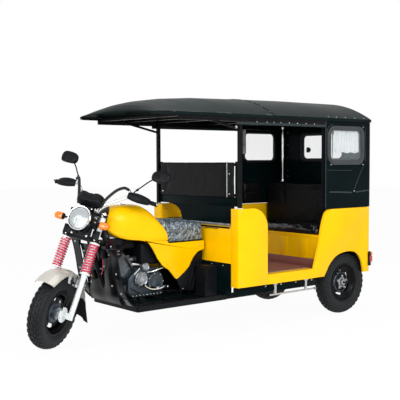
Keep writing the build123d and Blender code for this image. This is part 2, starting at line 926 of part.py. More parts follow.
arch_clear = (
    # y, z round the wheel arch from its front foot
    (back(1000), sill_bottom),
    (back(1147), 495),
    (back(1250), 560),
    (back(1392), 572),
    (back(1462), 556),
    (back(1512), 483),
    (back(1542), 369),
)
with BuildPart() as quarter:
    with BuildSketch(Plane.YZ.offset(half_width)):
        with BuildLine():
            Polyline(
                (door_rear, sill_bottom),
                (door_rear, floor_top),
                (back(949), belt_height - 312),
                (back(980), belt_height - 173),
                (back(1017), belt_height - 58),
                (back(1048), belt_height - 17),
                (quarter_corner, belt_height),
                (body_rear, belt_height),
                (body_rear, 369),
                *reversed(arch_clear),
                close=True,
            )
        make_face()
    extrude(amount=-wall)
save_both(quarter.part, "quarters")

quarter_top = eave_height - roof_lip - clearance
window_front, window_rear = back(1097), back(1509)
window_bottom, window_top = eave_height - 369, eave_height - 104
window_frame = 42
window_corner = 45


def window_shape(grow, mode=Mode.ADD):
    """The side window's outline, grown all round, in the current side sketch."""
    with Locations(((window_front + window_rear) / 2, (window_bottom + window_top) / 2)):
        RectangleRounded(
            window_rear - window_front + 2 * grow,
            window_top - window_bottom + 2 * grow,
            window_corner + grow,
            mode=mode,
        )


with BuildPart() as upper_quarter:
    with BuildSketch(Plane.YZ.offset(half_width)):
        Polygon(
            (post_y, belt_height + clearance),
            (body_rear, belt_height + clearance),
            (body_rear, quarter_top),
            (post_y, quarter_top),
            align=None,
        )
    extrude(amount=-wall)
    with BuildSketch(Plane.YZ.offset(half_width)):
        window_shape(8)
    extrude(amount=-wall, mode=Mode.SUBTRACT)
save_both(upper_quarter.part, "upper_quarters")

with BuildPart() as side_window_frame:
    with BuildSketch(Plane.YZ.offset(half_width + clearance)):
        window_shape(window_frame)
        window_shape(0, Mode.SUBTRACT)
    extrude(amount=8)

pane = 5
with BuildPart() as side_pane:
    with BuildSketch(Plane.YZ.offset(half_width - 6)):
        window_shape(8 - clearance)
    extrude(amount=-pane)

inner_half = half_width - wall
rear_inner = body_rear - wall
tyre_room = 22
wheelhouse_top = 606
wheelhouse_skin = 6
rear_tyre_reach = rear_axle_y + rear_tyre_radius + 6
with BuildPart() as rear_lower_panel:
    box_between(
        (-inner_half + clearance, inner_half - clearance), (rear_inner, body_rear), (369, belt_height)
    )
    # The tyres stand clear inside the panel's lower corners
    for side in (-1, 1):
        middle = side * rear_track_half
        half = rear_tyre_width / 2 + tyre_room
        box_between(
            (middle - half, middle + half),
            (rear_inner - 1, rear_tyre_reach),
            (368, wheelhouse_top),
            Mode.SUBTRACT,
        )
save(rear_lower_panel.part, "rear_lower_panel")

rear_window_half = 264
rear_window_z = (eave_height - 363, eave_height - 117)
with BuildPart() as rear_upper_panel:
    box_between(
        (-inner_half + clearance, inner_half - clearance),
        (rear_inner, body_rear),
        (belt_height + clearance, quarter_top),
    )
    box_between(
        (-rear_window_half, rear_window_half),
        (rear_inner - 1, body_rear + 1),
        rear_window_z,
        Mode.SUBTRACT,
    )
save(rear_upper_panel.part, "rear_upper_panel")

with BuildPart() as rear_window_frame:
    grow = 30
    box_between(
        (-rear_window_half - grow, rear_window_half + grow),
        (body_rear + clearance, body_rear + 8),
        (rear_window_z[0] - grow, rear_window_z[1] + grow),
    )
    box_between(
        (-rear_window_half, rear_window_half), (body_rear, body_rear + 9), rear_window_z, Mode.SUBTRACT
    )
window_frames = [
    side_window_frame.part,
    mirror(side_window_frame.part, about=Plane.YZ),
    rear_window_frame.part,
]
save(Compound(window_frames), "window_frames")

with BuildPart() as rear_pane:
    box_between(
        (-rear_window_half + clearance, rear_window_half - clearance),
        (body_rear - 12, body_rear - 12 + pane),
        (rear_window_z[0] + clearance, rear_window_z[1] - clearance),
    )
save(Compound([side_pane.part, mirror(side_pane.part, about=Plane.YZ), rear_pane.part]), "window_panes")

with BuildPart() as wheelhouse:
    low = rear_track_half - rear_tyre_width / 2 - tyre_room
    run = (back(1000), rear_inner - seat_gap)
    box_between((low, inner_half - seat_gap), run, (wheelhouse_top, wheelhouse_top + wheelhouse_skin))
    box_between((low, low + wheelhouse_skin), run, (floor_bottom, wheelhouse_top))
    box_between(
        (low, inner_half - seat_gap),
        (back(1000), back(1000) + wheelhouse_skin),
        (floor_bottom, wheelhouse_top),
    )
save_both(wheelhouse.part, "wheelhouses")

with BuildPart() as cabin_floor:
    side = sill_inner - seat_gap
    rear_side = rear_track_half - rear_tyre_width / 2 - tyre_room - seat_gap
    box_between((-side, side), (back(wall), back(1000)), (floor_bottom + seat_gap, floor_top))
    box_between(
        (-rear_side, rear_side),
        (back(1000), rear_inner - seat_gap),
        (floor_bottom + seat_gap, floor_top),
    )
save(cabin_floor.part, "cabin_floor")

# --- Roof --------------------------------------------------------------------------------------------

roof_front_sections = (
    # y behind the bulkhead, half width, rise of the crown
    (-795, 505, 22),
    (-780, 545, 40),
    (-745, 572, 66),
    (-690, 584, 88),
    (-600, roof_half, 108),
    (-400, roof_half, 134),
    (-100, roof_half, 154),
    (roof_seam, roof_half, 165),
)
roof_rear_sections = (
    (roof_seam, roof_half, 165), (900, roof_half, 172), (1620, roof_half, 172), (1652, 572, 162)
)


def roof_section(station, half, rise):
    """One arched section of the roof's shell."""
    lip = eave_height - roof_lip
    inner = half - roof_skin
    with BuildSketch(Plane.XZ.offset(-back(station))) as section:
        with BuildLine():
            Line((-half, lip), (-half, eave_height))
            ThreePointArc((-half, eave_height), (0, eave_height + rise), (half, eave_height))
            Line((half, eave_height), (half, lip))
            Line((half, lip), (inner, lip))
            Line((inner, lip), (inner, eave_height - roof_skin / 2))
            ThreePointArc(
                (inner, eave_height - roof_skin / 2),
                (0, eave_height + rise - roof_skin),
                (-inner, eave_height - roof_skin / 2),
            )
            Line((-inner, eave_height - roof_skin / 2), (-inner, lip))
            Line((-inner, lip), (-half, lip))
        make_face()
    return section.sketch


with BuildPart() as roof_front:
    loft([roof_section(*row) for row in roof_front_sections], ruled=True)
save(roof_front.part, "roof_front")

roof_end_y = body_rear - 14
full_rise = roof_rear_sections[1][2]
with BuildPart() as roof_rear:
    loft([roof_section(*row) for row in roof_rear_sections], ruled=True)
    # The end wall closes the arch above the rear panel
    with BuildSketch(Plane.XZ.offset(-roof_end_y)):
        with BuildLine():
            inner = roof_half - roof_skin - 4
            Line((-inner, quarter_top + seat_gap), (inner, quarter_top + seat_gap))
            Line((inner, quarter_top + seat_gap), (inner, eave_height - 4))
            ThreePointArc(
                (inner, eave_height - 4), (0, eave_height + full_rise - 8), (-inner, eave_height - 4)
            )
            Line((-inner, eave_height - 4), (-inner, quarter_top + seat_gap))
        make_face()
    extrude(amount=-8)
save(roof_rear.part, "roof_rear")

pillar_x = half_width - 22
pillar_half = 14
pillar_y = back(36)
frame_top = eave_height - 14
rail_outer = roof_half - roof_skin - seat_gap
header_bottom = frame_top - header_height
backrest_rails = (1120, 1370)
with BuildPart() as canopy_frame:
    for side in (-1, 1):
        pillar = side * pillar_x
        box_between(
            (pillar - pillar_half, pillar + pillar_half),
            (pillar_y - pillar_half, pillar_y + pillar_half),
            (wing_top + seat_gap, frame_top),
        )
        edges = sorted((side * (rail_outer - 22), side * rail_outer))
        box_between(edges, (back(-590), post_y - seat_gap), (header_bottom, frame_top))
        box_between(edges, (post_y - 2, body_rear - 20), (quarter_top + seat_gap, frame_top))
        rod((pillar, pillar_y - 6, 1655), (pillar, back(-372), frame_top - 14), 10)
        # Corner post down the inside of the doorway's rear edge
        box_between(
            sorted((side * (inner_half - 24), side * (inner_half - seat_gap))),
            (post_y, post_y + 24),
            (belt_height, frame_top),
        )
    for station in (-570, -300, 36, 600, 990):
        box_between(
            (-rail_outer + 4, rail_outer - 4),
            (back(station) - 12, back(station) + 12),
            (frame_top - 20, frame_top),
        )
    for level in backrest_rails:
        box_between((-pillar_x, pillar_x), (pillar_y, pillar_y + 12), (level - 12, level + 12))
save(canopy_frame.part, "canopy_frame")

# --- Seats and cabin fittings ------------------------------------------------------------------------

front_rest_half = half_width - 76
with BuildPart() as front_backrest:
    box_between((-front_rest_half, front_rest_half), (back(16), pillar_y - seat_gap), (1096, 1394))
save(front_backrest.part, "front_backrest")

bench_front = back(970)
backrest_front = back(1366)
backrest_thick = 60
backrest_top = belt_height + 219
bench_board = 14
bench_top = 745
bench_foot = bench_front + bench_board
cushion_top = 822
seat_span = (-inner_half + seat_gap, inner_half - seat_gap)
with BuildPart() as rear_bench_base:
    box_between(seat_span, (bench_front, bench_foot), (floor_top + seat_gap, bench_top))
    box_between(
        seat_span, (bench_foot, backrest_front + backrest_thick), (bench_top - bench_board, bench_top)
    )
save(rear_bench_base.part, "rear_bench_base")

with BuildPart() as rear_bench_cushion:
    box_between(
        (-inner_half + 8, inner_half - 8),
        (bench_front - 22, backrest_front - seat_gap),
        (bench_top + seat_gap, cushion_top),
    )
save(rear_bench_cushion.part, "rear_bench_cushion")

bench_nose_half = half_width - 101
front_bench_top = bulkhead_top + 17
with BuildPart() as front_bench:
    box_between(seat_span, (back(94), back(300)), (front_bench_top - 50, front_bench_top))
    box_between(
        (-bench_nose_half, bench_nose_half),
        (back(22), back(94)),
        (bulkhead_top + seat_gap, front_bench_top),
    )
save(front_bench.part, "front_bench")

with BuildPart() as side_backrest:
    box_between(
        (inner_half - 32, inner_half - seat_gap),
        (back(1051), back(1323)),
        (belt_height + 17, backrest_top),
    )
save_both(side_backrest.part, "side_backrests")

pole_x = 320
pole_radius = 9
with BuildPart() as grab_poles:
    for side in (-1, 1):
        middle = backrest_front + backrest_thick / 2
        top = roof_height(pole_x + pole_radius, full_rise, roof_skin) - seat_gap
        rod((side * pole_x, middle, backrest_top + seat_gap), (side * pole_x, middle, top), pole_radius)
save(grab_poles.part, "grab_poles")

curtain_z = (window_bottom + 49, window_top + 44)
with BuildPart() as curtain:
    box_between(
        (inner_half - 22, inner_half - seat_gap), (window_front + 60, window_rear + 30), curtain_z
    )
save_both(curtain.part, "curtains")

with BuildPart() as rear_backrest:
    box_between(
        seat_span,
        (backrest_front, backrest_front + backrest_thick),
        (bench_top + seat_gap, backrest_top),
    )
save(rear_backrest.part, "rear_backrest")

# --- Rear axle ---------------------------------------------------------------------------------------

hub_inner = rear_track_half - 52
axle_tube = 32
leaf_thick = 7
spring_reach = 230
hanger_z = high_rail_bottom - seat_gap
spring_seat = rear_tyre_radius + axle_tube + seat_gap
with BuildPart() as leaf_springs:
    for side in (-1, 1):
        with BuildSketch(Plane.YZ.offset(side * rail_x - 25)):
            for leaf, share in enumerate((0.45, 0.65, 0.83, 1.0)):
                reach = share * spring_reach
                low = spring_seat + leaf * leaf_thick
                lift = 34 * share**2
                with BuildLine():
                    ThreePointArc(
                        (rear_axle_y - reach, low + lift),
                        (rear_axle_y, low),
                        (rear_axle_y + reach, low + lift),
                    )
                    Line(
                        (rear_axle_y + reach, low + lift),
                        (rear_axle_y + reach, low + lift + leaf_thick),
                    )
                    ThreePointArc(
                        (rear_axle_y + reach, low + lift + leaf_thick),
                        (rear_axle_y, low + leaf_thick),
                        (rear_axle_y - reach, low + lift + leaf_thick),
                    )
                    Line(
                        (rear_axle_y - reach, low + lift + leaf_thick),
                        (rear_axle_y - reach, low + lift),
                    )
                make_face()
        extrude(amount=50)
        # Hangers from the main leaf's ends up to the rail
        for end in (-1, 1):
            middle = rear_axle_y + end * (spring_reach - 12)
            box_between(
                (side * rail_x - 18, side * rail_x + 18), (middle - 12, middle + 12), (370, hanger_z)
            )
save(leaf_springs.part, "leaf_springs")

# The sloping shaft's ends stand square to it
shaft_gap = 1.2
with BuildPart() as propeller_shaft:
    rod(
        (0, engine_rear + shaft_gap, shaft_front_z),
        (0, rear_axle_y - 95 - shaft_gap, rear_tyre_radius + 4),
        22,
    )
save(propeller_shaft.part, "propeller_shaft")

tail_light_x = half_width - 71
with BuildPart() as tail_lights:
    for side in (-1, 1):
        middle = side * tail_light_x
        box_between((middle - 55, middle + 55), (body_rear + clearance, body_rear + 40), (425, 552))
save(tail_lights.part, "tail_lights")

with BuildPart() as plate_bracket:
    box_between((-115, 115), (body_rear + clearance, body_rear + 6), (640, 780))
    for side in (-1, 1):
        rod((side * 75, body_rear, 740), (side * 75, body_rear + 7, 740), 3.5, Mode.SUBTRACT)
save(plate_bracket.part, "plate_bracket")

step_x = half_width - 19
step_z = 282
with BuildPart() as side_steps:
    for side in (-1, 1):
        rod((side * step_x, back(350), step_z), (side * step_x, back(920), step_z), 8)
        for station in (430, 800):
            box_between(
                (side * step_x - 6, side * step_x + 6),
                (back(station) - 12, back(station) + 12),
                (step_z, sill_bottom - seat_gap),
            )
save(side_steps.part, "side_steps")

with BuildPart() as rear_axle:
    for side in (-1, 1):
        rod(
            (0, rear_axle_y, rear_tyre_radius),
            (side * (hub_inner - 8), rear_axle_y, rear_tyre_radius),
            axle_tube,
        )
        rod(
            (0, rear_axle_y, rear_tyre_radius),
            (side * (rear_track_half + 60), rear_axle_y, rear_tyre_radius),
            axle_radius,
        )
    with Locations((0, rear_axle_y, rear_tyre_radius)):
        Box(180, 190, 170)
save(rear_axle.part, "rear_axle")
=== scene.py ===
import json
import math

import bmesh
import bpy
import numpy as np
from mathutils import Matrix, Vector, noise

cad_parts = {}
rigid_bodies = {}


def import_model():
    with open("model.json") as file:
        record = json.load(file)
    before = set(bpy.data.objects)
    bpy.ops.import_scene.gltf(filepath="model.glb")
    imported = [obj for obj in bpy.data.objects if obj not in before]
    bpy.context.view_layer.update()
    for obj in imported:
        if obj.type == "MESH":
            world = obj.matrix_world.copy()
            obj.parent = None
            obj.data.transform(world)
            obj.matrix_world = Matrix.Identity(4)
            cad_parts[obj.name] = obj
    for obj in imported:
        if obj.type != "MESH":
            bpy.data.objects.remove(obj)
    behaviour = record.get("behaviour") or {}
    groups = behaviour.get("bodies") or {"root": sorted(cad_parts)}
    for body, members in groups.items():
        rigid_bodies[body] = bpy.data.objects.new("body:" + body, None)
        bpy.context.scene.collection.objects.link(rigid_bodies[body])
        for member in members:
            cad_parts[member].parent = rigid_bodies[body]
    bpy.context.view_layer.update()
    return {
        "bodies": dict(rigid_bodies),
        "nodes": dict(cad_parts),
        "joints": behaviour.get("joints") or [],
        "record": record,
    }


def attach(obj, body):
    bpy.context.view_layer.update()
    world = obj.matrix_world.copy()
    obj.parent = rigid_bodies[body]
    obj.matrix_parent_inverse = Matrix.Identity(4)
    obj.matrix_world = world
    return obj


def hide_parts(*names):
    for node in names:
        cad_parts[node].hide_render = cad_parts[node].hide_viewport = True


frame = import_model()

nodes = frame["nodes"]
joints = {joint["name"]: joint for joint in frame["joints"]}


def back(distance):
    """The Y of a station this far behind the bulkhead's front face."""
    return distance - 0.025


def stations(*points):
    """Points (x, distance behind the bulkhead's front face, z) as points of the vehicle."""
    return [Vector((x, back(distance), z)) for x, distance, z in points]


# --- Shared frames -----------------------------------------------------------------------------------

stem_foot = Vector(joints["steering"]["pos_m"])
stem_axis = Vector(joints["steering"]["axis"])
front_hub = Vector(joints["front_wheel_spin"]["pos_m"])
front_axle = Vector(joints["front_wheel_spin"]["axis"])
behind = stem_axis.cross(front_axle)
fork_frame = Matrix.Translation(stem_foot) @ Matrix((front_axle, behind, stem_axis)).transposed().to_4x4()
identity = Matrix.Identity(4)
tau = 2 * math.pi

# --- Materials ---------------------------------------------------------------------------------------


def material(name, color, rough=0.4, metal=0.0, coat=0.0, vary=0.1, vary_scale=6.0, rough_vary=0.08,
             grain=0.0, grain_scale=300.0, cells=0.0, cell_scale=160.0, sheen=0.0, transmission=0.0,
             alpha=1.0, specular=0.5, second=None, twist=0.0, steps=(0.32, 0.68)):
    """A principled material whose colour, roughness and bump vary over the surface."""
    made = bpy.data.materials.new(name)
    made.use_nodes = True
    tree = made.node_tree
    shader = tree.nodes["Principled BSDF"]
    shader.inputs["Metallic"].default_value = metal
    shader.inputs["Coat Weight"].default_value = coat
    shader.inputs["Coat Roughness"].default_value = 0.06
    shader.inputs["Sheen Weight"].default_value = sheen
    shader.inputs["Transmission Weight"].default_value = transmission
    shader.inputs["Alpha"].default_value = alpha
    shader.inputs["Specular IOR Level"].default_value = specular
    place = tree.nodes.new("ShaderNodeTexCoord").outputs["Object"]
    spots = tree.nodes.new("ShaderNodeTexNoise")
    spots.inputs["Scale"].default_value = vary_scale
    spots.inputs["Detail"].default_value = 6.0
    spots.inputs["Distortion"].default_value = twist
    tree.links.new(place, spots.inputs["Vector"])
    ramp = tree.nodes.new("ShaderNodeValToRGB")
    ramp.color_ramp.elements[0].position = steps[0]
    ramp.color_ramp.elements[1].position = steps[1]
    dark = second or [c * (1 - vary) for c in color]
    ramp.color_ramp.elements[0].color = (*dark, 1)
    ramp.color_ramp.elements[1].color = (*color, 1)
    tree.links.new(spots.outputs["Fac"], ramp.inputs["Fac"])
    tree.links.new(ramp.outputs["Color"], shader.inputs["Base Color"])
    spread = tree.nodes.new("ShaderNodeMapRange")
    spread.inputs["To Min"].default_value = max(0.02, rough - rough_vary)
    spread.inputs["To Max"].default_value = min(1.0, rough + rough_vary)
    tree.links.new(spots.outputs["Fac"], spread.inputs["Value"])
    tree.links.new(spread.outputs["Result"], shader.inputs["Roughness"])
    height = None
    if grain:
        fine = tree.nodes.new("ShaderNodeTexNoise")
        fine.inputs["Scale"].default_value = grain_scale
        fine.inputs["Detail"].default_value = 4.0
        tree.links.new(place, fine.inputs["Vector"])
        height = bump(tree, fine.outputs["Fac"], grain, height)
    if cells:
        cell = tree.nodes.new("ShaderNodeTexVoronoi")
        cell.feature = "DISTANCE_TO_EDGE"
        cell.inputs["Scale"].default_value = cell_scale
        tree.links.new(place, cell.inputs["Vector"])
        height = bump(tree, cell.outputs["Distance"], cells, height)
    if height:
        tree.links.new(height, shader.inputs["Normal"])
    return made


def bump(tree, source, strength, below=None):
    """Adds a bump node over an earlier one and returns its normal."""
    made = tree.nodes.new("ShaderNodeBump")
    made.inputs["Strength"].default_value = strength
    made.inputs["Distance"].default_value = 0.002
    tree.links.new(source, made.inputs["Height"])
    if below:
        tree.links.new(below, made.inputs["Normal"])
    return made.outputs["Normal"]


yellow = material("yellow_paint", (1.0, 0.56, 0.0), rough=0.30, coat=0.05, vary=0.05,
                  second=(0.97, 0.52, 0.0), grain=0.02, grain_scale=90, rough_vary=0.05, specular=0.12)
roof_black = material("roof_black", (0.006, 0.013, 0.013), rough=0.40, vary=0.5, vary_scale=3, grain=0.05,
                      grain_scale=60, rough_vary=0.12, specular=0.04)
panel_black = material("panel_black", (0.002, 0.007, 0.008), rough=0.24, vary=0.4, vary_scale=4, grain=0.03,
                       grain_scale=40, specular=0.035)
steel_black = material("steel_black", (0.005, 0.005, 0.006), rough=0.32, vary=0.5, vary_scale=14,
                       grain=0.06, grain_scale=220, specular=0.09)
plastic_black = material("plastic_black", (0.007, 0.008, 0.010), rough=0.38, vary=0.3, vary_scale=20,
                         grain=0.12, grain_scale=700, specular=0.10)
gloss_black = material("gloss_black", (0.003, 0.004, 0.006), rough=0.16, vary=0.4, vary_scale=10,
                       grain=0.02, grain_scale=80, specular=0.16)
leather = material("bench_leather", (0.006, 0.006, 0.007), rough=0.34, vary=0.35, vary_scale=9, cells=0.25,
                   cell_scale=420, grain=0.18, grain_scale=35, specular=0.09)
# Clear wrapping over the driver's seat: pale silver-blue streaks mixed into near-black by noise are painted
# highlights and reflections of the film; its coat and bump are real gloss
film_painted_glints = material("seat_film_painted_glints", (0.30, 0.37, 0.42), second=(0.022, 0.036, 0.046), rough=0.16, rough_vary=0.08,
                vary_scale=13, grain=0.7, grain_scale=34, coat=0.7, twist=3.2, steps=(0.40, 0.66))
rubber = material("tyre_rubber", (0.010, 0.012, 0.014), rough=0.58, vary=0.4, vary_scale=25, grain=0.15,
                  grain_scale=500, specular=0.22)
soft_rubber = material("soft_rubber", (0.009, 0.009, 0.010), rough=0.50, vary=0.3, vary_scale=30,
                       grain=0.12, grain_scale=600, specular=0.25)
frame_rubber = material("frame_rubber", (0.034, 0.040, 0.043), rough=0.32, vary=0.35, vary_scale=18,
                        grain=0.08, grain_scale=400, specular=0.4)
# Lighter, bluer black than the panels: painted sheen along the pressed lines and the header board; their
# higher gloss is real
crease_black_painted_sheen = material("crease_black_painted_sheen", (0.010, 0.020, 0.023), rough=0.26, vary=0.3, vary_scale=30,
                        specular=0.35)
wet_black = material("wet_black", (0.012, 0.018, 0.026), rough=0.12, vary=0.3, vary_scale=12, specular=0.7,
                     coat=0.8)
cushion_vinyl = material("cushion_vinyl", (0.006, 0.006, 0.007), rough=0.22, vary=0.35, vary_scale=9,
                         grain=0.25, grain_scale=45, specular=0.35, coat=0.3)
chrome = material("bright_chrome", (0.86, 0.87, 0.88), rough=0.12, metal=1.0, vary=0.06, vary_scale=30,
                  rough_vary=0.05)
steel = material("bolt_steel", (0.62, 0.62, 0.60), rough=0.28, metal=1.0, vary=0.25, vary_scale=90,
                 rough_vary=0.1)
white_paint = material("white_paint", (0.80, 0.84, 0.84), rough=0.25, vary=0.06, vary_scale=20, coat=0.4)
spring_red = material("spring_red", (0.62, 0.030, 0.085), rough=0.18, vary=0.2, vary_scale=40, coat=1.0)
fender_grey = material("fender_grey", (0.50, 0.475, 0.42), rough=0.26, vary=0.06, vary_scale=8, coat=0.3,
                       metal=0.1)
alloy = material("engine_alloy", (0.40, 0.44, 0.48), rough=0.34, metal=0.85, vary=0.45, vary_scale=34,
                 grain=0.25, grain_scale=240)
dark_alloy = material("dark_alloy", (0.07, 0.09, 0.11), rough=0.36, metal=0.7, vary=0.5, vary_scale=34,
                      grain=0.2, grain_scale=240)
brass = material("aged_brass", (0.55, 0.33, 0.14), rough=0.34, metal=1.0, vary=0.3, vary_scale=60)
floor_mat = material("floor_mat", (0.27, 0.095, 0.075), rough=0.55, vary=0.16, vary_scale=5, cells=0.2,
                     cell_scale=90, grain=0.1, grain_scale=300)
amber = material("amber_lens", (0.92, 0.27, 0.0), second=(0.72, 0.13, 0.0), rough=0.14, vary_scale=60,
                 coat=0.4, cells=0.25, cell_scale=120)
red_lens = material("red_lens", (0.60, 0.010, 0.012), second=(0.32, 0.004, 0.006), rough=0.12,
                    vary_scale=60, coat=0.8, cells=0.25, cell_scale=120)
lens_glass = material("lens_glass", (0.86, 0.88, 0.90), rough=0.08, vary=0.05, vary_scale=30,
                      transmission=0.75, cells=0.3, cell_scale=70, coat=0.6)
lamp_lens = material("lamp_lens", (0.50, 0.53, 0.54), rough=0.16, vary=0.08, vary_scale=14,
                     transmission=0.35, coat=0.8)
reflector = material("lamp_reflector", (0.82, 0.83, 0.85), rough=0.14, metal=1.0, vary=0.1, vary_scale=40)
pane_glass = material("pane_glass", (0.62, 0.72, 0.74), rough=0.05, vary=0.06, vary_scale=8, alpha=0.10,
                      specular=0.3)
curtain_cloth = material("curtain_cloth", (0.74, 0.75, 0.76), rough=0.8, vary=0.1, vary_scale=40, grain=0.3,
                         grain_scale=900, sheen=0.3)

# --- Mesh helpers ------------------------------------------------------------------------------------


def turns_of(steps):
    """Equal angles once round."""
    return [tau * k / steps for k in range(steps)]


class Shape:
    """Collects parts of one piece, each with a material, and makes them one object."""

    def __init__(self, name, body, mats, slot=None, hides=(), frame=identity):
        self.mesh = bmesh.new()
        self.name, self.body, self.slot, self.hides = name, body, slot, hides
        self.mats, self.frame = mats, frame

    def add(self, points, faces, mat=None, smooth=True, place=identity):
        """Adds points and faces; mat is one of the piece's materials, its first by default."""
        matrix = self.frame @ place
        index = self.mats.index(mat) if mat else 0
        verts = [self.mesh.verts.new(matrix @ Vector(p)) for p in points]
        for corners in faces:
            face = self.mesh.faces.new([verts[i] for i in corners])
            face.material_index = index
            face.smooth = smooth

    def box(self, low, high, edge=0.002, mat=None, segments=2, place=identity):
        """A box with rounded edges between two corners."""
        low, high = Vector(map(min, low, high)), Vector(map(max, low, high))
        middle, size = (low + high) / 2, high - low
        part = bmesh.new()
        bmesh.ops.create_cube(part, size=1)
        for v in part.verts:
            v.co = Vector((v.co.x * size.x, v.co.y * size.y, v.co.z * size.z)) + middle
        edge = min(edge, 0.45 * min(size))
        if edge > 0:
            bmesh.ops.bevel(part, geom=list(part.edges), offset=edge, segments=segments, profile=0.5,
                            affect="EDGES")
        part.verts.index_update()
        self.add([v.co for v in part.verts], [[v.index for v in f.verts] for f in part.faces], mat, True,
                 place)
        part.free()

    def rings(self, rings, mat=None, closed=True, caps=(True, True), loop=False, smooth=True,
              place=identity):
        """Joins rings of equal length; closed rings wrap round, loop joins the last ring to the first."""
        count, width = len(rings), len(rings[0])
        points = [p for ring in rings for p in ring]
        faces = []
        for i in range(count if loop else count - 1):
            j = (i + 1) % count
            for k in range(width if closed else width - 1):
                n = (k + 1) % width
                faces.append((i * width + k, i * width + n, j * width + n, j * width + k))
        if closed and not loop:
            if caps[0]:
                faces.append(tuple(range(width))[::-1])
            if caps[1]:
                faces.append(tuple((count - 1) * width + k for k in range(width)))
        self.add(points, faces, mat, smooth, place)

    def lathe(self, profile, mat=None, steps=48, place=identity, loop=False):
        """Turns a profile of (radius, height) about its place's Z; loop closes the profile on itself."""
        rings = [[(r * math.cos(a), r * math.sin(a), h) for r, h in profile] for a in turns_of(steps)]
        self.rings(rings, mat, closed=loop, loop=True, place=place)

    def tube(self, points, radius, mat=None, sides=12, loop=False, place=identity):
        """A round tube along points; radius may be a list, one for each point."""
        points = [Vector(p) for p in points]
        radii = radius if isinstance(radius, (list, tuple)) else [radius] * len(points)
        rings, side = [], None
        count = len(points)
        for i, p in enumerate(points):
            before = points[i - 1] if i or loop else p
            after = points[(i + 1) % count] if i < count - 1 or loop else p
            along = (after - before).normalized()
            if side is None:
                side = along.orthogonal().normalized()
            side = (side - along * side.dot(along)).normalized()
            other = along.cross(side)
            rings.append([p + (side * math.cos(a) + other * math.sin(a)) * radii[i]
                          for a in turns_of(sides)])
        self.rings(rings, mat, loop=loop, place=place)

    def bolt(self, at, along, radius=0.007, mat=None, place=identity, domed=False):
        """A small hexagon or domed head standing on a surface."""
        turn = place @ look(at, along)
        if domed:
            self.lathe([(radius, 0), (radius * 0.95, radius * 0.4), (radius * 0.55, radius * 0.75),
                        (0.0001, radius * 0.85)], mat, 10, place=turn)
        else:
            self.lathe([(radius * 1.3, 0), (radius * 1.3, radius * 0.2), (radius, radius * 0.25),
                        (radius, radius * 0.9), (radius * 0.8, radius), (0.0001, radius)], mat, 6,
                       place=turn)

    def done(self, angle=35):
        """Makes the object, sharp where its faces turn by more than the angle, and gives it to its body."""
        bmesh.ops.recalc_face_normals(self.mesh, faces=list(self.mesh.faces))
        data = bpy.data.meshes.new(self.name)
        self.mesh.to_mesh(data)
        self.mesh.free()
        made = bpy.data.objects.new(self.name, data)
        bpy.context.scene.collection.objects.link(made)
        for m in self.mats:
            data.materials.append(m)
        data.set_sharp_from_angle(angle=math.radians(angle))
        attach(made, self.body)
        if self.hides:
            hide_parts(*self.hides)
        return made


def look(at, along):
    """A frame at a point whose Z runs along a direction."""
    along = Vector(along).normalized()
    side = along.orthogonal().normalized()
    return Matrix.Translation(Vector(at)) @ Matrix((side, along.cross(side), along)).transposed().to_4x4()


def smooth_line(points, steps=8, loop=False):
    """Points along a smooth curve through the given ones."""
    pts = [Vector(p) for p in points]
    count = len(pts)
    made = []
    for i in range(count if loop else count - 1):
        a = pts[i - 1] if i or loop else pts[0] * 2 - pts[1]
        b, c = pts[i], pts[(i + 1) % count]
        d = pts[(i + 2) % count] if i < count - 2 or loop else c * 2 - b
        for k in range(steps):
            t = k / steps
            made.append(0.5 * (2 * b + (c - a) * t + (2 * a - 5 * b + 4 * c - d) * t * t
                               + (3 * b - a - 3 * c + d) * t**3))
    if not loop:
        made.append(pts[-1])
    return made


def profile_value(table, x, column):
    """A smooth value between rows of a table whose first column rises."""
    rows = list(table)
    if x <= rows[0][0]:
        return rows[0][column]
    if x >= rows[-1][0]:
        return rows[-1][column]
    i = max(k for k in range(len(rows) - 1) if rows[k][0] <= x)
    x0, x1 = rows[i][0], rows[i + 1][0]
    slopes = []
    for k in (i, i + 1):
        a, b = max(0, k - 1), min(len(rows) - 1, k + 1)
        slopes.append((rows[b][column] - rows[a][column]) / (rows[b][0] - rows[a][0]))
    h, t = x1 - x0, (x - x0) / (x1 - x0)
    y0, y1 = rows[i][column], rows[i + 1][column]
    return (y0 * (1 + 2 * t) * (1 - t) ** 2 + slopes[0] * h * t * (1 - t) ** 2
            + y1 * t * t * (3 - 2 * t) + slopes[1] * h * t * t * (t - 1))


def rounded_outline(points, radius, steps=5):
    """A closed outline whose corners are rounded by short curves."""
    made = []
    count = len(points)
    for i, corner in enumerate(points):
        corner = Vector(corner)
        before, after = Vector(points[i - 1]), Vector(points[(i + 1) % count])
        start = corner.lerp(before, min(0.45, radius / max(1e-6, (corner - before).length)))
        end = corner.lerp(after, min(0.45, radius / max(1e-6, (corner - after).length)))
        for k in range(steps + 1):
            t = k / steps
            made.append(start.lerp(corner, t).lerp(corner.lerp(end, t), t))
    return made


def inset_outline(points, distance):
    """The outline moved inward by a distance along its own normals."""
    count = len(points)
    area = sum(points[i].x * points[(i + 1) % count].y - points[(i + 1) % count].x * points[i].y
               for i in range(count))
    turn = 1 if area > 0 else -1
    made = []
    for i, p in enumerate(points):
        along = points[(i + 1) % count] - points[i - 1]
        if along.length < 1e-9:
            made.append(p.copy())
            continue
        along.normalize()
        made.append(p + Vector((-along.y, along.x)) * distance * turn)
    return made


def rounded_rectangle(low, high, radius, steps=8):
    """A rounded rectangle's outline as 2-D points."""
    made = []
    for (cx, cy), first in (((high[0] - radius, high[1] - radius), 0),
                            ((low[0] + radius, high[1] - radius), 1),
                            ((low[0] + radius, low[1] + radius), 2),
                            ((high[0] - radius, low[1] + radius), 3)):
        for k in range(steps + 1):
            a = math.pi / 2 * (first + k / steps)
            made.append(Vector((cx + radius * math.cos(a), cy + radius * math.sin(a))))
    return made


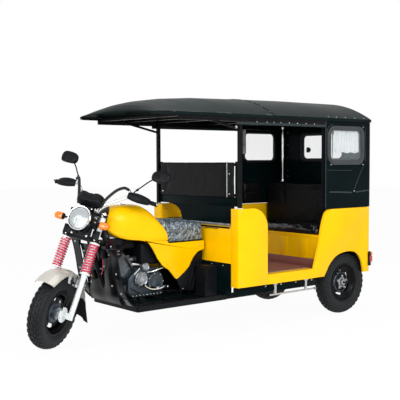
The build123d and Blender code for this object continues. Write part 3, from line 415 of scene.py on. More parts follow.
def crowned_plate(shape, outline, inner_x, outer_x, sign, mat=None, edge=0.005):
    """A side plate with a rounded outer edge; the outline is (distance behind the bulkhead, height)."""
    thick = outer_x - inner_x
    rows = []
    for inset, rise in ((0.0, 0.0), (0.0, thick - edge), (edge * 0.3, thick - edge * 0.3), (edge, thick)):
        moved = inset_outline(outline, inset)
        rows.append([Vector((sign * (inner_x + rise), back(p.x), p.y)) for p in moved])
    shape.rings(rows, mat)


def frame_ring(shape, outer, inner, place, mat=None, rise=0.010):
    """A rubber frame with a rounded face between two outlines of equal length."""
    rows = []
    for share, height in ((0.0, 0.0), (0.0, rise * 0.55), (0.08, rise * 0.85), (0.25, rise),
                          (0.55, rise * 0.94), (0.78, rise * 0.80), (0.80, rise * 0.60),
                          (0.90, rise * 0.58), (0.97, rise * 0.45), (1.0, 0.0)):
        rows.append([place(a.lerp(b, share), height) for a, b in zip(outer, inner)])
    shape.rings(rows, mat, loop=True)


def straight_value(table, x):
    """The value between rows of (x, value), joined by straight lines."""
    for (x0, y0), (x1, y1) in zip(table[:-1], table[1:]):
        if x <= x1:
            return y0 + (y1 - y0) * max(0.0, (x - x0) / (x1 - x0))
    return table[-1][1]


# --- Materials of the construction's own pieces ------------------------------------------------------

finishes = (
    (yellow, "front_bulkhead fuel_tank quarters rear_bench_base rear_lower_panel side_covers sills wings"),
    (steel_black, "canopy_frame chassis_frame exhaust fork_yokes front_rim hand_levers leaf_springs"),
    (steel_black, "plate_bracket propeller_shaft rear_axle rear_rim_left rear_rim_right wheelhouses"),
    (plastic_black, "battery_box instrument_cluster mirrors rear_covers"),
    (panel_black, "rear_upper_panel upper_quarters"), (roof_black, "roof_front roof_rear"),
    (gloss_black, "leg_guards"), (chrome, "foot_levers grab_poles handlebar headlight"),
    (leather, "front_backrest front_bench rear_backrest rear_bench_cushion side_backrests"),
    (film_painted_glints, "driver_seat"), (rubber, "front_tyre rear_tyre_left rear_tyre_right"),
    (soft_rubber, "control_cables grips mud_flap"), (frame_rubber, "window_frames"),
    (pane_glass, "window_panes"), (steel, "side_steps"), (alloy, "engine"), (white_paint, "fork_legs"),
    (spring_red, "fork_springs"), (amber, "indicators"), (red_lens, "tail_lights"),
    (fender_grey, "front_fender"), (floor_mat, "cabin_floor"), (curtain_cloth, "curtains"))
for finish, node_names in finishes:
    for node_name in node_names.split():
        nodes[node_name].data.materials.clear()
        nodes[node_name].data.materials.append(finish)

# --- Wheels ------------------------------------------------------------------------------------------

rim_radius = 0.162
front_radius, front_width = 0.281, 0.118
rear_radius, rear_width = 0.285, 0.126


def hub_frame(centre, axle):
    """A wheel's frame: Z along the axle."""
    axle = Vector(axle).normalized()
    up = Vector((0, 0, 1))
    up = (up - axle * up.dot(axle)).normalized()
    return (Matrix.Translation(Vector(centre))
            @ Matrix((axle.cross(up) * -1, up, axle)).transposed().to_4x4())


def crown(radius, across, crown_radius=0.085):
    """The radius of the tread's surface at a distance from the wheel's middle plane."""
    return radius - crown_radius + math.sqrt(crown_radius**2 - across**2)


def make_tyre(name, node, hub, radius, width, body, blocks=34):
    """A tyre with a moulded sidewall and a tread of separate blocks in rows."""
    piece = Shape(name, body, [rubber], "tyre_rubber", [node], hub)
    half, bead, edge = width / 2, 0.36 * width, 0.42 * width
    depth = 0.007
    shoulder = crown(radius, edge)
    side = [(rim_radius + 0.0005, bead), (rim_radius + 0.010, bead + 0.001),
            (rim_radius + 0.018, half - 0.012), (rim_radius + 0.022, half - 0.0085),
            (rim_radius + 0.030, half - 0.007), (rim_radius + 0.034, half - 0.0035),
            (rim_radius + 0.046, half - 0.001), (rim_radius + 0.062, half - 0.0005),
            (rim_radius + 0.076, half - 0.002), (rim_radius + 0.079, half - 0.0045),
            (shoulder - 0.012, edge + 0.0045), (shoulder - depth, edge + 0.002)]
    top = [(crown(radius, x) - depth, x) for x in np.linspace(edge - 0.002, 0, 6)]
    right = side + top
    profile = right + [(r, -x) for r, x in reversed(right[:-1])]
    piece.lathe(profile + [(rim_radius + 0.0005, 0)], rubber, 120, loop=True)

    def block(corners):
        """One tread block; corners are (angle, across) round its top."""
        middle_a = sum(a for a, _ in corners) / len(corners)
        middle_x = sum(x for _, x in corners) / len(corners)
        rows = []
        for grow, drop in ((1.06, depth + 0.002), (1.0, 0.0012), (0.93, 0.0)):
            row = []
            for a, x in corners:
                a2, x2 = middle_a + (a - middle_a) * grow, middle_x + (x - middle_x) * grow
                r = crown(radius, max(-edge, min(edge, x2))) - drop
                row.append((r * math.cos(a2), r * math.sin(a2), x2))
            rows.append(row)
        piece.rings(rows, rubber, caps=(False, True), smooth=False)

    step = tau / blocks
    for i in range(blocks):
        a = i * step
        # Zigzag middle row, then a staggered row and the shoulder lugs on each side
        block([(a - 0.36 * step, -0.010), (a + 0.10 * step, -0.014), (a + 0.36 * step, 0.006),
               (a + 0.36 * step, 0.012), (a - 0.10 * step, 0.014), (a - 0.36 * step, -0.004)])
        for sign in (-1, 1):
            b = a + 0.5 * step * (sign > 0)
            block([(b - 0.34 * step, sign * 0.019), (b + 0.30 * step, sign * 0.017),
                   (b + 0.38 * step, sign * 0.031), (b - 0.26 * step, sign * 0.033)])
            block([(b - 0.02 * step, sign * 0.037), (b + 0.62 * step, sign * 0.036),
                   (b + 0.58 * step, sign * edge), (b + 0.02 * step, sign * edge)])
            # Lug down the shoulder
            rows = []
            for grow, out in ((1.1, -0.001), (0.9, 0.0028)):
                row = []
                for share, below, wide in ((-0.28, 0.001, 0), (0.28, 0.001, 0),
                                           (0.20, 0.020, 0.0055), (-0.20, 0.020, 0.0055)):
                    t = b + (0.30 + share * grow) * step
                    row.append(((shoulder - below) * math.cos(t), (shoulder - below) * math.sin(t),
                                sign * (edge + wide + out)))
                rows.append(row)
            piece.rings(rows, rubber, caps=(False, True), smooth=False)
    return piece.done(30)


def make_rim(name, node, hub, width, body, disc, side, drum):
    """A pressed steel wheel: rolled rim, dished disc with oval windows, hub, drum and studs."""
    piece = Shape(name, body, [steel_black, dark_alloy, steel, alloy], "black_steel", [node], hub)
    lip = 0.36 * width
    outer = rim_radius + 0.009
    profile = [(rim_radius - 0.001, lip), (outer - 0.003, lip + 0.0008), (outer, lip + 0.002),
               (outer, lip + 0.0045), (outer - 0.003, lip + 0.0055), (rim_radius - 0.004, lip + 0.004),
               (rim_radius - 0.008, lip - 0.003), (rim_radius - 0.012, lip - 0.010),
               (rim_radius - 0.024, lip - 0.018), (rim_radius - 0.026, 0)]
    whole = profile + [(r, -h) for r, h in reversed(profile[:-1])]
    inner = [(r + 0.0035, h * 0.98) for r, h in whole[2:-2]]
    piece.lathe(whole + inner[::-1], steel_black, 96, loop=True)
    # Dished disc with windows between its arms
    windows, steps, opens, closes = 5, 90, 4, 14
    pitch = steps // windows
    bowl = [(0.052, 0.010), (0.066, 0.012), (0.078, 0.004), (0.098, -0.004), (0.118, -0.003),
            (0.130, 0.004), (0.138, 0.010)]
    for skin in (0.0, -0.004):
        points, faces = [], []
        for i in range(steps):
            a = tau * i / steps
            for r, h in bowl:
                points.append((r * math.cos(a), r * math.sin(a), disc + side * (h + skin)))
        wide = len(bowl)
        for i in range(steps):
            j = (i + 1) % steps
            for k in range(wide - 1):
                if k not in (2, 3) or i % pitch not in range(opens, closes):
                    faces.append((i * wide + k, j * wide + k, j * wide + k + 1, i * wide + k + 1))
        piece.add(points, faces, steel_black)
    for c in range(windows):
        angles = np.linspace(tau * (c * pitch + opens) / steps, tau * (c * pitch + closes) / steps, 11)
        edge = [(0.078, 0.004, a) for a in angles] + [(0.118, -0.003, a) for a in angles[::-1]]
        rows = [[(r * math.cos(a), r * math.sin(a), disc + side * (h + s)) for r, h, a in edge]
                for s in (0.0005, -0.0045)]
        piece.rings(rows, steel_black, caps=(False, False))
        piece.tube(rows[0], 0.0022, steel_black, 6, loop=True)
    # Hub, cap, drum with its fins, and the studs
    piece.lathe([(drum, -0.030), (drum + 0.003, -0.024), (drum + 0.003, 0.012), (drum - 0.004, 0.018),
                 (0.050, 0.022), (0.050, -0.034), (drum - 0.004, -0.034)], dark_alloy, 64, loop=True)
    for k in range(4):
        z = -0.026 + 0.010 * k
        piece.lathe([(drum, z), (drum + 0.0075, z + 0.001), (drum + 0.0075, z + 0.003), (drum, z + 0.004)],
                    dark_alloy, 64, loop=True)
    studs, hub_radius = 5, 0.034
    reach = disc + side * 0.012
    piece.lathe([(0.0105, reach - side * 0.050), (hub_radius + 0.012, reach - side * 0.050),
                 (hub_radius + 0.012, reach), (hub_radius, reach + side * 0.004),
                 (hub_radius - 0.006, reach + side * 0.020), (hub_radius - 0.014, reach + side * 0.024),
                 (0.0105, reach + side * 0.024)], alloy, 40, loop=True)
    for k in range(studs):
        a = tau * k / studs + 0.3
        at = Vector((0.058 * math.cos(a), 0.058 * math.sin(a), disc + side * 0.0105))
        piece.bolt(at, (0, 0, side), 0.0085, steel)
        piece.lathe([(0.0045, 0.005), (0.0045, 0.015), (0.0001, 0.016)], steel, 8,
                    place=look(at, (0, 0, side)))
    for k in range(24):
        a = tau * k / 24
        piece.box((drum - 0.002, -0.0018, -0.026), (drum + 0.007, 0.0018, 0.012), 0.0006, dark_alloy, 1,
                  place=Matrix.Rotation(a, 4, "Z"))
    # Valve
    piece.tube([(rim_radius - 0.022, 0, side * 0.020), (rim_radius - 0.030, 0, side * 0.040)], 0.0038,
               steel, 8, place=Matrix.Rotation(2.0, 4, "Z"))
    return piece.done(30)


front_wheel = hub_frame(front_hub, front_axle)
make_tyre("tyre_front", "front_tyre", front_wheel, front_radius, front_width, "front_wheel")
make_rim("rim_front", "front_rim", front_wheel, front_width, "front_wheel", 0.0, -1, 0.078)
for side_name, sign in (("left", 1), ("right", -1)):
    joint = joints[f"rear_wheel_{side_name}_spin"]
    wheel = hub_frame(joint["pos_m"], (sign, 0, 0))
    body_name = f"rear_wheel_{side_name}"
    make_tyre(f"tyre_rear_{side_name}", f"rear_tyre_{side_name}", wheel, rear_radius, rear_width, body_name)
    make_rim(f"rim_rear_{side_name}", f"rear_rim_{side_name}", wheel, rear_width, body_name, 0.016, 1,
             0.092)

# --- Fork springs and fender -------------------------------------------------------------------------

leg_x, leg_y = 0.1265, -0.018
spring_low, spring_high = 0.330, 0.580
springs = Shape("coil_springs", "fork", [spring_red, white_paint], "spring_red", ["fork_springs"],
                fork_frame)
coil_turns, spring_radius, wire, seat = 11.2, 0.0338, 0.0072, 0.012
for sign in (-1, 1):
    count = int(coil_turns * 20)
    line = []
    for i in range(count + 1):
        share = i / count
        angle = sign * tau * coil_turns * share
        line.append((sign * leg_x + spring_radius * math.cos(angle),
                     leg_y + spring_radius * math.sin(angle),
                     spring_low + seat + (spring_high - spring_low - 2 * seat) * share))
    springs.tube(line, wire, spring_red, 9)
    foot = Matrix.Translation((sign * leg_x, leg_y, 0))
    for low, high in ((spring_low, spring_low + seat), (spring_high - seat, spring_high)):
        springs.lathe([(0.0216, low), (0.038, low), (0.040, low + 0.002), (0.040, high - 0.002),
                       (0.038, high), (0.0216, high)], white_paint, 36, place=foot, loop=True)
    # White sleeve inside the coil
    springs.lathe([(0.0213, spring_low + seat), (0.0275, spring_low + seat), (0.0275, spring_high - seat),
                   (0.0213, spring_high - seat)], white_paint, 32, place=foot, loop=True)
springs.done()

fender = Shape("fender_shell", "fork", [fender_grey, white_paint, steel], "fender_grey", ["front_fender"],
               front_wheel)
# The front wheel's frame is turned so that its angle runs from straight ahead over the top
fork_in_wheel = front_wheel.inverted() @ fork_frame
ahead = fork_in_wheel.to_3x3() @ Vector((0, -1, 0))
above = fork_in_wheel.to_3x3() @ Vector((0, 0, 1))


def wheel_point(angle, radius, across):
    """A point round the front wheel; the angle is measured up from straight ahead along the fork's frame."""
    return ahead * (radius * math.cos(angle)) + above * (radius * math.sin(angle)) + Vector((0, 0, across))


fender_section = [  # across, height over the edge radius
    (-0.084, -0.006), (-0.0845, 0.000), (-0.081, 0.004), (-0.070, 0.010), (-0.052, 0.017), (-0.036, 0.0205),
    (-0.030, 0.0215), (-0.026, 0.0255), (-0.012, 0.0275), (0.0, 0.028)]
fender_section += [(-x, h) for x, h in reversed(fender_section[:-1])]
start_angle, end_angle, edge_radius = math.radians(33), math.radians(150), 0.306
outer_rows, inner_rows = [], []
steps = 72
for i in range(steps + 1):
    angle = start_angle + (end_angle - start_angle) * i / steps
    # The front lip flares a little and rounds off
    flare = max(0.0, 1 - i / 9)
    rows = []
    for skin in (0.0, 0.0016):
        rows.append([wheel_point(angle, edge_radius + h - skin * (1 if abs(x) < 0.083 else 0)
                                 + 0.004 * flare**2, x * (1 - 0.05 * flare**2)) for x, h in fender_section])
    outer_rows.append(rows[0])
    inner_rows.append(rows[1])
sheet_rows = [outer + inner[::-1] for outer, inner in zip(outer_rows, inner_rows)]
fender.rings(sheet_rows, fender_grey)
for rows_at in (outer_rows[0], outer_rows[-1]):
    fender.tube(rows_at, 0.0022, fender_grey, 8)
for k in (0, len(fender_section) - 1):
    fender.tube([row[k] for row in outer_rows], 0.0024, fender_grey, 8)
stay_low = 0.232
for sign in (-1, 1):
    x = sign * 0.074
    # White flat-bar stay bent to a U, with a foot on the leg
    path = smooth_line([(x, -0.125, 0.303), (x, -0.112, 0.245), (x, -0.100, 0.233), (x, -0.060, 0.231),
                        (x, -0.014, 0.233), (x, -0.003, 0.245), (x, 0.011, 0.303)], 5)
    rows = []
    for i, p in enumerate(path):
        before, after = path[max(0, i - 1)], path[min(len(path) - 1, i + 1)]
        along = (after - before).normalized()
        normal = along.cross(Vector((1, 0, 0))).normalized()
        rows.append([p + Vector((dx, 0, 0)) + normal * dn for dx, dn in
                     ((-0.009, -0.0018), (0.009, -0.0018), (0.009, 0.0018), (-0.009, 0.0018))])
    fender.rings(rows, white_paint, smooth=False, place=fork_in_wheel)
    fender.box((x - sign * 0.004, leg_y - 0.011, stay_low - 0.010),
               (sign * 0.1052, leg_y + 0.011, stay_low + 0.010), 0.002, white_paint, place=fork_in_wheel)
    for y, z in ((-0.060, 0.2335), (-0.030, 0.2335)):
        fender.bolt((x, y, z), (0, 0, 1), 0.006, steel, place=fork_in_wheel)
    for angle in (1.15, 1.45, 1.85):
        fender.bolt(wheel_point(angle, edge_radius + 0.0125, sign * 0.066), wheel_point(angle, 1, 0)
                    + Vector((0, 0, sign * 0.35)), 0.005, steel, domed=True)
fender.done()

# --- Handlebar, lamps and clocks ---------------------------------------------------------------------

fork_top = 0.806


def bar(x, y, z):
    """A point of the fork frame whose height is above the upper yoke."""
    return Vector((x, y, z + fork_top))


bar_end_outer, bar_end_inner = bar(0.460, 0.112, 0.198), bar(0.235, 0.092, 0.214)


def on_bar(sign, across):
    """A point on the middle line of the handlebar's straight end."""
    point = bar_end_inner + (bar_end_outer - bar_end_inner) * (
        (across - bar_end_inner.x) / (bar_end_outer.x - bar_end_inner.x))
    return Vector((sign * point.x, point.y, point.z))


grips = Shape("ribbed_grips", "fork", [soft_rubber, chrome], "soft_rubber", ["grips"], fork_frame)
for sign in (-1, 1):
    start, end = on_bar(sign, 0.3255), on_bar(sign, 0.463)
    length = (end - start).length
    profile = [(0.0118, 0), (0.0195, 0), (0.0200, 0.002), (0.0195, 0.005), (0.0165, 0.007)]
    for k in range(17):
        z = 0.010 + k * 0.0072
        profile += [(0.0160, z), (0.0174, z + 0.0012), (0.0174, z + 0.0046), (0.0160, z + 0.0058)]
    profile += [(0.0178, length - 0.004), (0.0178, length - 0.001), (0.014, length), (0.0118, length)]
    grips.lathe(profile, soft_rubber, 28, place=look(start, end - start))
    grips.lathe([(0.0001, length + 0.0035), (0.009, length + 0.003), (0.0115, length),
                 (0.0118, length - 0.012)], chrome, 24, place=look(start, end - start))
grips.done(40)

levers = Shape("levers_and_switches", "fork", [plastic_black, steel_black, chrome, red_lens, white_paint],
               "black_plastic", ["hand_levers"], fork_frame)
for sign in (-1, 1):
    start, end = on_bar(sign, 0.284), on_bar(sign, 0.321)
    turn = look(start, end - start)
    length = (end - start).length
    levers.lathe([(0.0118, 0), (0.0205, 0.0), (0.0222, 0.002), (0.0222, length / 2 - 0.001),
                  (0.0212, length / 2), (0.0222, length / 2 + 0.001), (0.0222, length - 0.002),
                  (0.0205, length), (0.0118, length)], plastic_black, 32, place=turn)
    # Switch block on the housing with its buttons
    middle = (start + end) / 2
    rear = Matrix.Translation(middle + Vector((0, 0.020, 0.004)))
    levers.box((-0.015, -0.010, -0.017), (0.015, 0.007, 0.017), 0.004, plastic_black, place=rear)
    levers.box((-0.006, 0.006, 0.003), (0.006, 0.011, 0.011), 0.0015, red_lens, place=rear)
    levers.box((-0.004, 0.006, -0.012), (0.004, 0.012, -0.003), 0.0015, white_paint, place=rear)
    # Bracket, pivot with rubber boot, and the lever blade with its ball end
    pivot = bar(sign * 0.303, 0.066, 0.2055)
    levers.tube([middle + Vector((0, -0.016, 0)), pivot], [0.0125, 0.0105], steel_black, 16)
    a, b = bar(sign * 0.288, 0.066, 0.206), bar(sign * 0.340, 0.060, 0.203)
    levers.tube([a, a.lerp(b, 0.12), a.lerp(b, 0.3), a.lerp(b, 0.34), b],
                [0.0065, 0.0088, 0.0088, 0.0078, 0.0078], steel_black, 16)
    levers.bolt(pivot + Vector((0, 0, 0.0085)), (0, 0, 1), 0.0052, chrome)
    blade = smooth_line([bar(sign * 0.318, 0.060, 0.204), bar(sign * 0.345, 0.053, 0.203),
                         bar(sign * 0.385, 0.055, 0.200), bar(sign * 0.425, 0.064, 0.197),
                         bar(sign * 0.450, 0.068, 0.1955)], 5)
    levers.tube(blade, [0.0062 - 0.0022 * min(1, i / len(blade) * 1.6) for i in range(len(blade))],
                steel_black, 10)
    levers.lathe([(0.0001, -0.0062), (0.0045, -0.0045), (0.0062, 0), (0.0045, 0.0045), (0.0001, 0.0062)],
                 steel_black, 16, place=Matrix.Translation(blade[-1]))
levers.done(40)

bars = Shape("bar_fittings", "fork", [chrome, steel], None, (), fork_frame)
for sign in (-1, 1):
    # Riser clamps with two cap bolts each, and the knurled middle
    foot = Matrix.Translation(bar(sign * 0.042, -0.002, 0.062))
    bars.box((-0.0145, -0.0175, -0.013), (0.0145, 0.0175, 0.0155), 0.005, chrome, place=foot)
    for dy in (-0.0115, 0.0115):
        bars.bolt((0, dy, 0.0155), (0, 0, 1), 0.0042, steel, place=foot)
    bars.lathe([(0.0125, 0.0005), (0.0175, 0.0005), (0.0175, 0.006), (0.0135, 0.010), (0.0125, 0.010)],
               chrome, 24, place=Matrix.Translation((sign * 0.042, 0, fork_top)))
    # Fork tube caps above the upper yoke and pinch bolts
    bars.lathe([(0.0212, -0.002), (0.0222, -0.001), (0.0222, 0.007), (0.018, 0.0105), (0.0001, 0.0115)],
               chrome, 28, place=Matrix.Translation(bar(sign * leg_x, leg_y, 0.002)))
    bars.bolt(bar(sign * leg_x, leg_y, 0.0125), (0, 0, 1), 0.0085, steel)
    for level in (0.600, 0.795):
        bars.bolt((sign * (leg_x + 0.028), leg_y + 0.006, level), (sign, 0, 0), 0.006, steel)
        bars.bolt((sign * (leg_x + 0.0005), leg_y - 0.028, level), (0, -1, 0), 0.0055, steel)
bars.lathe([(0.0145, 0.0), (0.021, 0.0), (0.021, 0.009), (0.0165, 0.0105), (0.0165, 0.015),
            (0.0001, 0.017)], steel, 6, place=Matrix.Translation(bar(0, 0, 0.001)))
bars.done()

mirror_head = ((-0.075, 0.006), (-0.058, -0.044), (0.052, -0.046), (0.075, -0.022), (0.072, 0.024),
               (0.040, 0.046), (-0.040, 0.040))
mirrors = Shape("mirror_heads", "fork", [plastic_black, reflector, steel_black], "black_plastic",
                ["mirrors"], fork_frame)
for sign in (-1, 1):
    centre = bar(sign * 0.416, 0.134, 0.424)
    head = Matrix.Translation(centre)
    outline = smooth_line([(sign * x, 0, z) for x, z in mirror_head], 7, loop=True)
    rows = []
    for grow, depth in ((0.90, 0.0), (0.965, 0.0004), (0.972, -0.003), (1.0, -0.004), (1.0, -0.010),
                        (0.97, -0.019), (0.88, -0.0255), (0.66, -0.0285), (0.30, -0.030)):
        rows.append([Vector((p.x * grow, depth, p.z * grow)) for p in outline])
    mirrors.rings(rows, plastic_black, place=head)
    mirrors.rings([[Vector((p.x * 0.90, 0.0006, p.z * 0.90)) for p in outline],
                   [Vector((p.x * 0.5, 0.0009, p.z * 0.5)) for p in outline]], reflector,
                  caps=(False, True), place=head)
    stem = [bar(sign * 0.250, 0.0933, 0.2246), bar(sign * 0.250, 0.0933, 0.243),
            bar(sign * 0.258, 0.095, 0.262), bar(sign * 0.296, 0.103, 0.310),
            bar(sign * 0.330, 0.110, 0.354), bar(sign * 0.362, 0.1145, 0.386),
            bar(sign * 0.398, 0.1165, 0.410)]
    mirrors.tube(smooth_line(stem, 5), 0.0052, steel_black, 12)
    mirrors.lathe([(0.0001, -0.001), (0.0092, 0.0), (0.0092, 0.0125), (0.0065, 0.0145), (0.0001, 0.0145)],
                  steel_black, 6, place=Matrix.Translation(stem[0]))
    mirrors.lathe([(0.0055, 0.0), (0.0092, 0.003), (0.0085, 0.020), (0.0055, 0.026)], plastic_black, 16,
                  place=look(bar(sign * 0.262, 0.096, 0.266),
                             bar(sign * 0.296, 0.103, 0.310) - bar(sign * 0.258, 0.095, 0.262)))
    # Ball joint boss on the back of the head
    mirrors.lathe([(0.015, 0.0), (0.0145, 0.006), (0.010, 0.011), (0.0001, 0.013)], plastic_black, 20,
                  place=look(centre + Vector((sign * -0.016, -0.026, -0.012)), (0, -1, 0)))
mirrors.done()

# Headlight: chrome ring, fluted lens over a bulb and reflector, black shell and ears
lamp_front, lamp_height = -0.152, fork_top - 0.084
lens_radius, lamp_scale = 0.0775, 1.09
lamp = (Matrix.Translation((0, lamp_front, lamp_height)) @ Matrix.Rotation(math.radians(90), 4, "X")
        @ Matrix.Scale(lamp_scale, 4))
headlight = Shape("headlamp", "fork", [chrome, plastic_black, reflector, lamp_lens, steel_black,
                                       white_paint], "bright_chrome", ["headlight"], fork_frame)
# Local Z of the lamp points forward; its rim is at 0
headlight.lathe([(lens_radius, -0.006), (0.0780, 0.0), (0.0800, 0.0028), (0.0835, 0.0032), (0.0858, 0.0010),
                 (0.0865, -0.004), (0.0865, -0.022), (0.0850, -0.026), (0.0790, -0.026),
                 (lens_radius, -0.020)], chrome, 96, place=lamp, loop=True)
headlight.lathe([(0.0845, -0.026), (0.0800, -0.030), (0.0775, -0.036), (0.0755, -0.044), (0.0700, -0.060),
                 (0.0600, -0.076), (0.0450, -0.088), (0.0260, -0.094), (0.0001, -0.095)], plastic_black, 72,
                place=lamp)
# Reflector bowl and bulb holder
headlight.lathe([(lens_radius, -0.008), (0.068, -0.018), (0.050, -0.030), (0.030, -0.0375), (0.012, -0.040),
                 (0.0001, -0.040)], reflector, 64, place=lamp)
headlight.lathe([(0.009, -0.040), (0.009, -0.026), (0.0075, -0.020), (0.0001, -0.016)], steel_black, 20,
                place=lamp)
# Fluted lens: vertical ribs over a shallow dome
rows = []
for i in range(27):
    r = lens_radius * i / 26
    row = []
    for a in turns_of(96):
        x, z = r * math.cos(a), r * math.sin(a)
        flute = 0.0005 * abs(math.sin(x * 165)) if abs(z) < 0.052 else 0.0004 * abs(math.sin(z * 210))
        fluted = 0.017 <= (x**2 + z**2) ** 0.5 and r < 0.0745
        row.append((x, z, 0.0065 * (1 - (r / lens_radius) ** 2) - 0.003 + flute * fluted))
    rows.append(row)
headlight.rings(rows, lamp_lens, caps=(False, False), place=lamp)
headlight.lathe([(0.0768, -0.002), (0.0772, 0.0022), (0.0788, 0.0036), (0.0800, 0.0030)], steel_black, 80,
                place=lamp)
for sign in (-1, 1):
    ear_x = sign * 0.1006
    headlight.box((ear_x - 0.0046, lamp_front + 0.040, lamp_height - 0.032),
                  (ear_x + 0.0046, leg_y + 0.010, lamp_height + 0.032), 0.003, plastic_black)
    headlight.tube([(sign * 0.074, lamp_front + 0.060, lamp_height),
                    (sign * 0.100, lamp_front + 0.060, lamp_height)], 0.009, steel_black, 16)
    headlight.bolt((sign * 0.1053, lamp_front + 0.060, lamp_height), (sign, 0, 0), 0.0085, chrome)
    headlight.bolt((sign * 0.1053, leg_y - 0.014, lamp_height + 0.022), (sign, 0, 0), 0.005, chrome)
for a in (-2.2, -0.9):
    headlight.bolt(lamp @ Vector((0.0815 * math.cos(a), 0.0815 * math.sin(a), 0.0032)), (0, -1, 0), 0.0032,
                   white_paint, domed=True)
headlight.done(30)

# Indicators: long rounded lenses with a dark end cap on a short stem
indicators = Shape("turn_signals", "fork", [amber, plastic_black], "amber_lens", ["indicators"], fork_frame)
indicator_z, indicator_y, indicator_long = lamp_height - 0.010, -0.100, 0.086
for sign in (-1, 1):
    axis = Matrix.Translation((sign * 0.152, indicator_y,
                               indicator_z)) @ Matrix.Rotation(sign * math.pi / 2, 4, "Y")
    rows = []
    for share, grow in ((0.0, 0.42), (0.02, 0.70), (0.07, 0.84), (0.16, 0.88)):
        rows.append([(0.028 * grow * math.cos(a), 0.024 * grow * math.sin(a), indicator_long * share)
                     for a in turns_of(32)])
    indicators.rings(rows, plastic_black, place=axis)
    rows = []
    for share, grow in ((0.15, 0.86), (0.17, 0.95), (0.25, 1.0), (0.55, 1.0), (0.72, 0.96), (0.86, 0.84),
                        (0.95, 0.62), (1.0, 0.30)):
        row = []
        for a in turns_of(48):
            rib = 1 + 0.018 * math.cos(12 * a) * (0.3 < share < 0.8)
            row.append((0.028 * grow * rib * math.copysign(abs(math.cos(a)) ** 0.8, math.cos(a)),
                        0.024 * grow * rib * math.copysign(abs(math.sin(a)) ** 0.8, math.sin(a)),
                        indicator_long * share))
        rows.append(row)
    indicators.rings(rows, amber, place=axis)
    indicators.lathe([(0.0105, 0.0), (0.0105, 0.0025), (0.0072, 0.006), (0.0072, 0.030), (0.0085, 0.040),
                      (0.0120, 0.0462)], plastic_black, 20,
                     place=Matrix.Translation((sign * 0.1055, indicator_y, indicator_z))
                     @ Matrix.Rotation(sign * math.pi / 2, 4, "Y"))
indicators.done(40)

# Instrument cluster: two round gauges under a shared cowl
lean, gauge_scale = math.radians(30), 1.20
gauge = (Matrix.Translation(bar(0, -0.094, 0.044)) @ Matrix.Rotation(-lean, 4, "X")
         @ Matrix.Scale(gauge_scale, 4))
cluster = Shape("gauge_cluster", "fork", [plastic_black, gloss_black, white_paint, lens_glass, chrome,
                                          red_lens], "black_plastic", ["instrument_cluster"], fork_frame)
for sign in (-1, 1):
    cup = gauge @ Matrix.Translation((sign * 0.047, 0, 0))
    cluster.lathe([(0.0001, 0.0), (0.026, 0.0005), (0.036, 0.006), (0.0410, 0.016), (0.0430, 0.030),
                   (0.0435, 0.052), (0.0440, 0.060), (0.0440, 0.0655), (0.0415, 0.0665), (0.0400, 0.0640),
                   (0.0395, 0.0570)], plastic_black, 56, place=cup)
    cluster.lathe([(0.0395, 0.0570), (0.0001, 0.0570)], gloss_black, 48, place=cup)
    cluster.lathe([(0.0392, 0.0625), (0.025, 0.0642), (0.0001, 0.0650)], lens_glass, 40, place=cup)
    for k in range(25):
        a = math.radians(220 - 260 * k / 24)
        inner = 0.0305 if k % 4 == 0 else 0.0330
        tick = cup @ Matrix.Rotation(a, 4, "Z")
        cluster.box((inner, -0.0005, 0.0571), (0.0362, 0.0005, 0.0575), 0.0, white_paint, 1, place=tick)
    needle = cup @ Matrix.Rotation(math.radians(222), 4, "Z")
    cluster.box((-0.006, -0.0008, 0.0578), (0.029, 0.0008, 0.0586), 0.0002, red_lens, 1, place=needle)
    cluster.lathe([(0.0045, 0.0571), (0.0045, 0.0600), (0.0001, 0.0605)], plastic_black, 16, place=cup)
# Cowl over both cups, hollowed towards the rider
rows = []
for h, wide, deep in ((0.004, 0.050, 0.030), (0.018, 0.070, 0.0385), (0.036, 0.0790, 0.0415),
                      (0.052, 0.0800, 0.0420), (0.0600, 0.0790, 0.0410)):
    row = []
    for a in turns_of(44):
        row.append((wide * math.copysign(abs(math.cos(a)) ** 0.55, math.cos(a)),
                    deep * math.copysign(abs(math.sin(a)) ** 0.75, math.sin(a)), h))
    rows.append(row)
cluster.rings(rows, plastic_black, place=gauge)
for k, tell_tale in ((-1, red_lens), (0, chrome), (1, lens_glass)):
    cluster.lathe([(0.0042, 0.060), (0.0042, 0.0612), (0.0001, 0.0618)], tell_tale, 12,
                  place=gauge @ Matrix.Translation((0, 0.012 * k, 0)))
cluster.box(bar(-0.040, -0.060, 0.0005), bar(0.040, -0.030, 0.050), 0.004, plastic_black)
for sign in (-1, 1):
    cluster.bolt(bar(sign * 0.028, -0.0605, 0.016), (0, -1, 0), 0.005, chrome)
cluster.done(35)

# --- Tank, covers and apron --------------------------------------------------------------------------

tank_stations = (  # y behind the bulkhead, half width, bottom, top
    (-0.930, 0.030, 0.892, 0.955), (-0.922, 0.064, 0.876, 0.975), (-0.905, 0.090, 0.852, 1.000),
    (-0.880, 0.110, 0.832, 1.024), (-0.840, 0.132, 0.808, 1.045), (-0.770, 0.150, 0.788, 1.056),
    (-0.680, 0.160, 0.776, 1.058), (-0.600, 0.165, 0.765, 1.050), (-0.520, 0.168, 0.758, 1.018),
    (-0.460, 0.169, 0.757, 0.984), (-0.420, 0.169, 0.757, 0.950), (-0.400, 0.168, 0.757, 0.934),
)
tank_section = (  # share of the half width, share of the height, from the bottom's middle
    (0.0, 0.03), (0.30, 0.02), (0.60, 0.0), (0.86, 0.0), (0.96, 0.012), (1.0, 0.045), (0.998, 0.085),
    (0.978, 0.12), (0.972, 0.17), (0.985, 0.26), (1.0, 0.38), (1.0, 0.48), (0.985, 0.58), (0.95, 0.67),
    (0.895, 0.76), (0.82, 0.835), (0.72, 0.90), (0.60, 0.945), (0.45, 0.975), (0.28, 0.992), (0.12, 0.999),
    (0.0, 1.0))
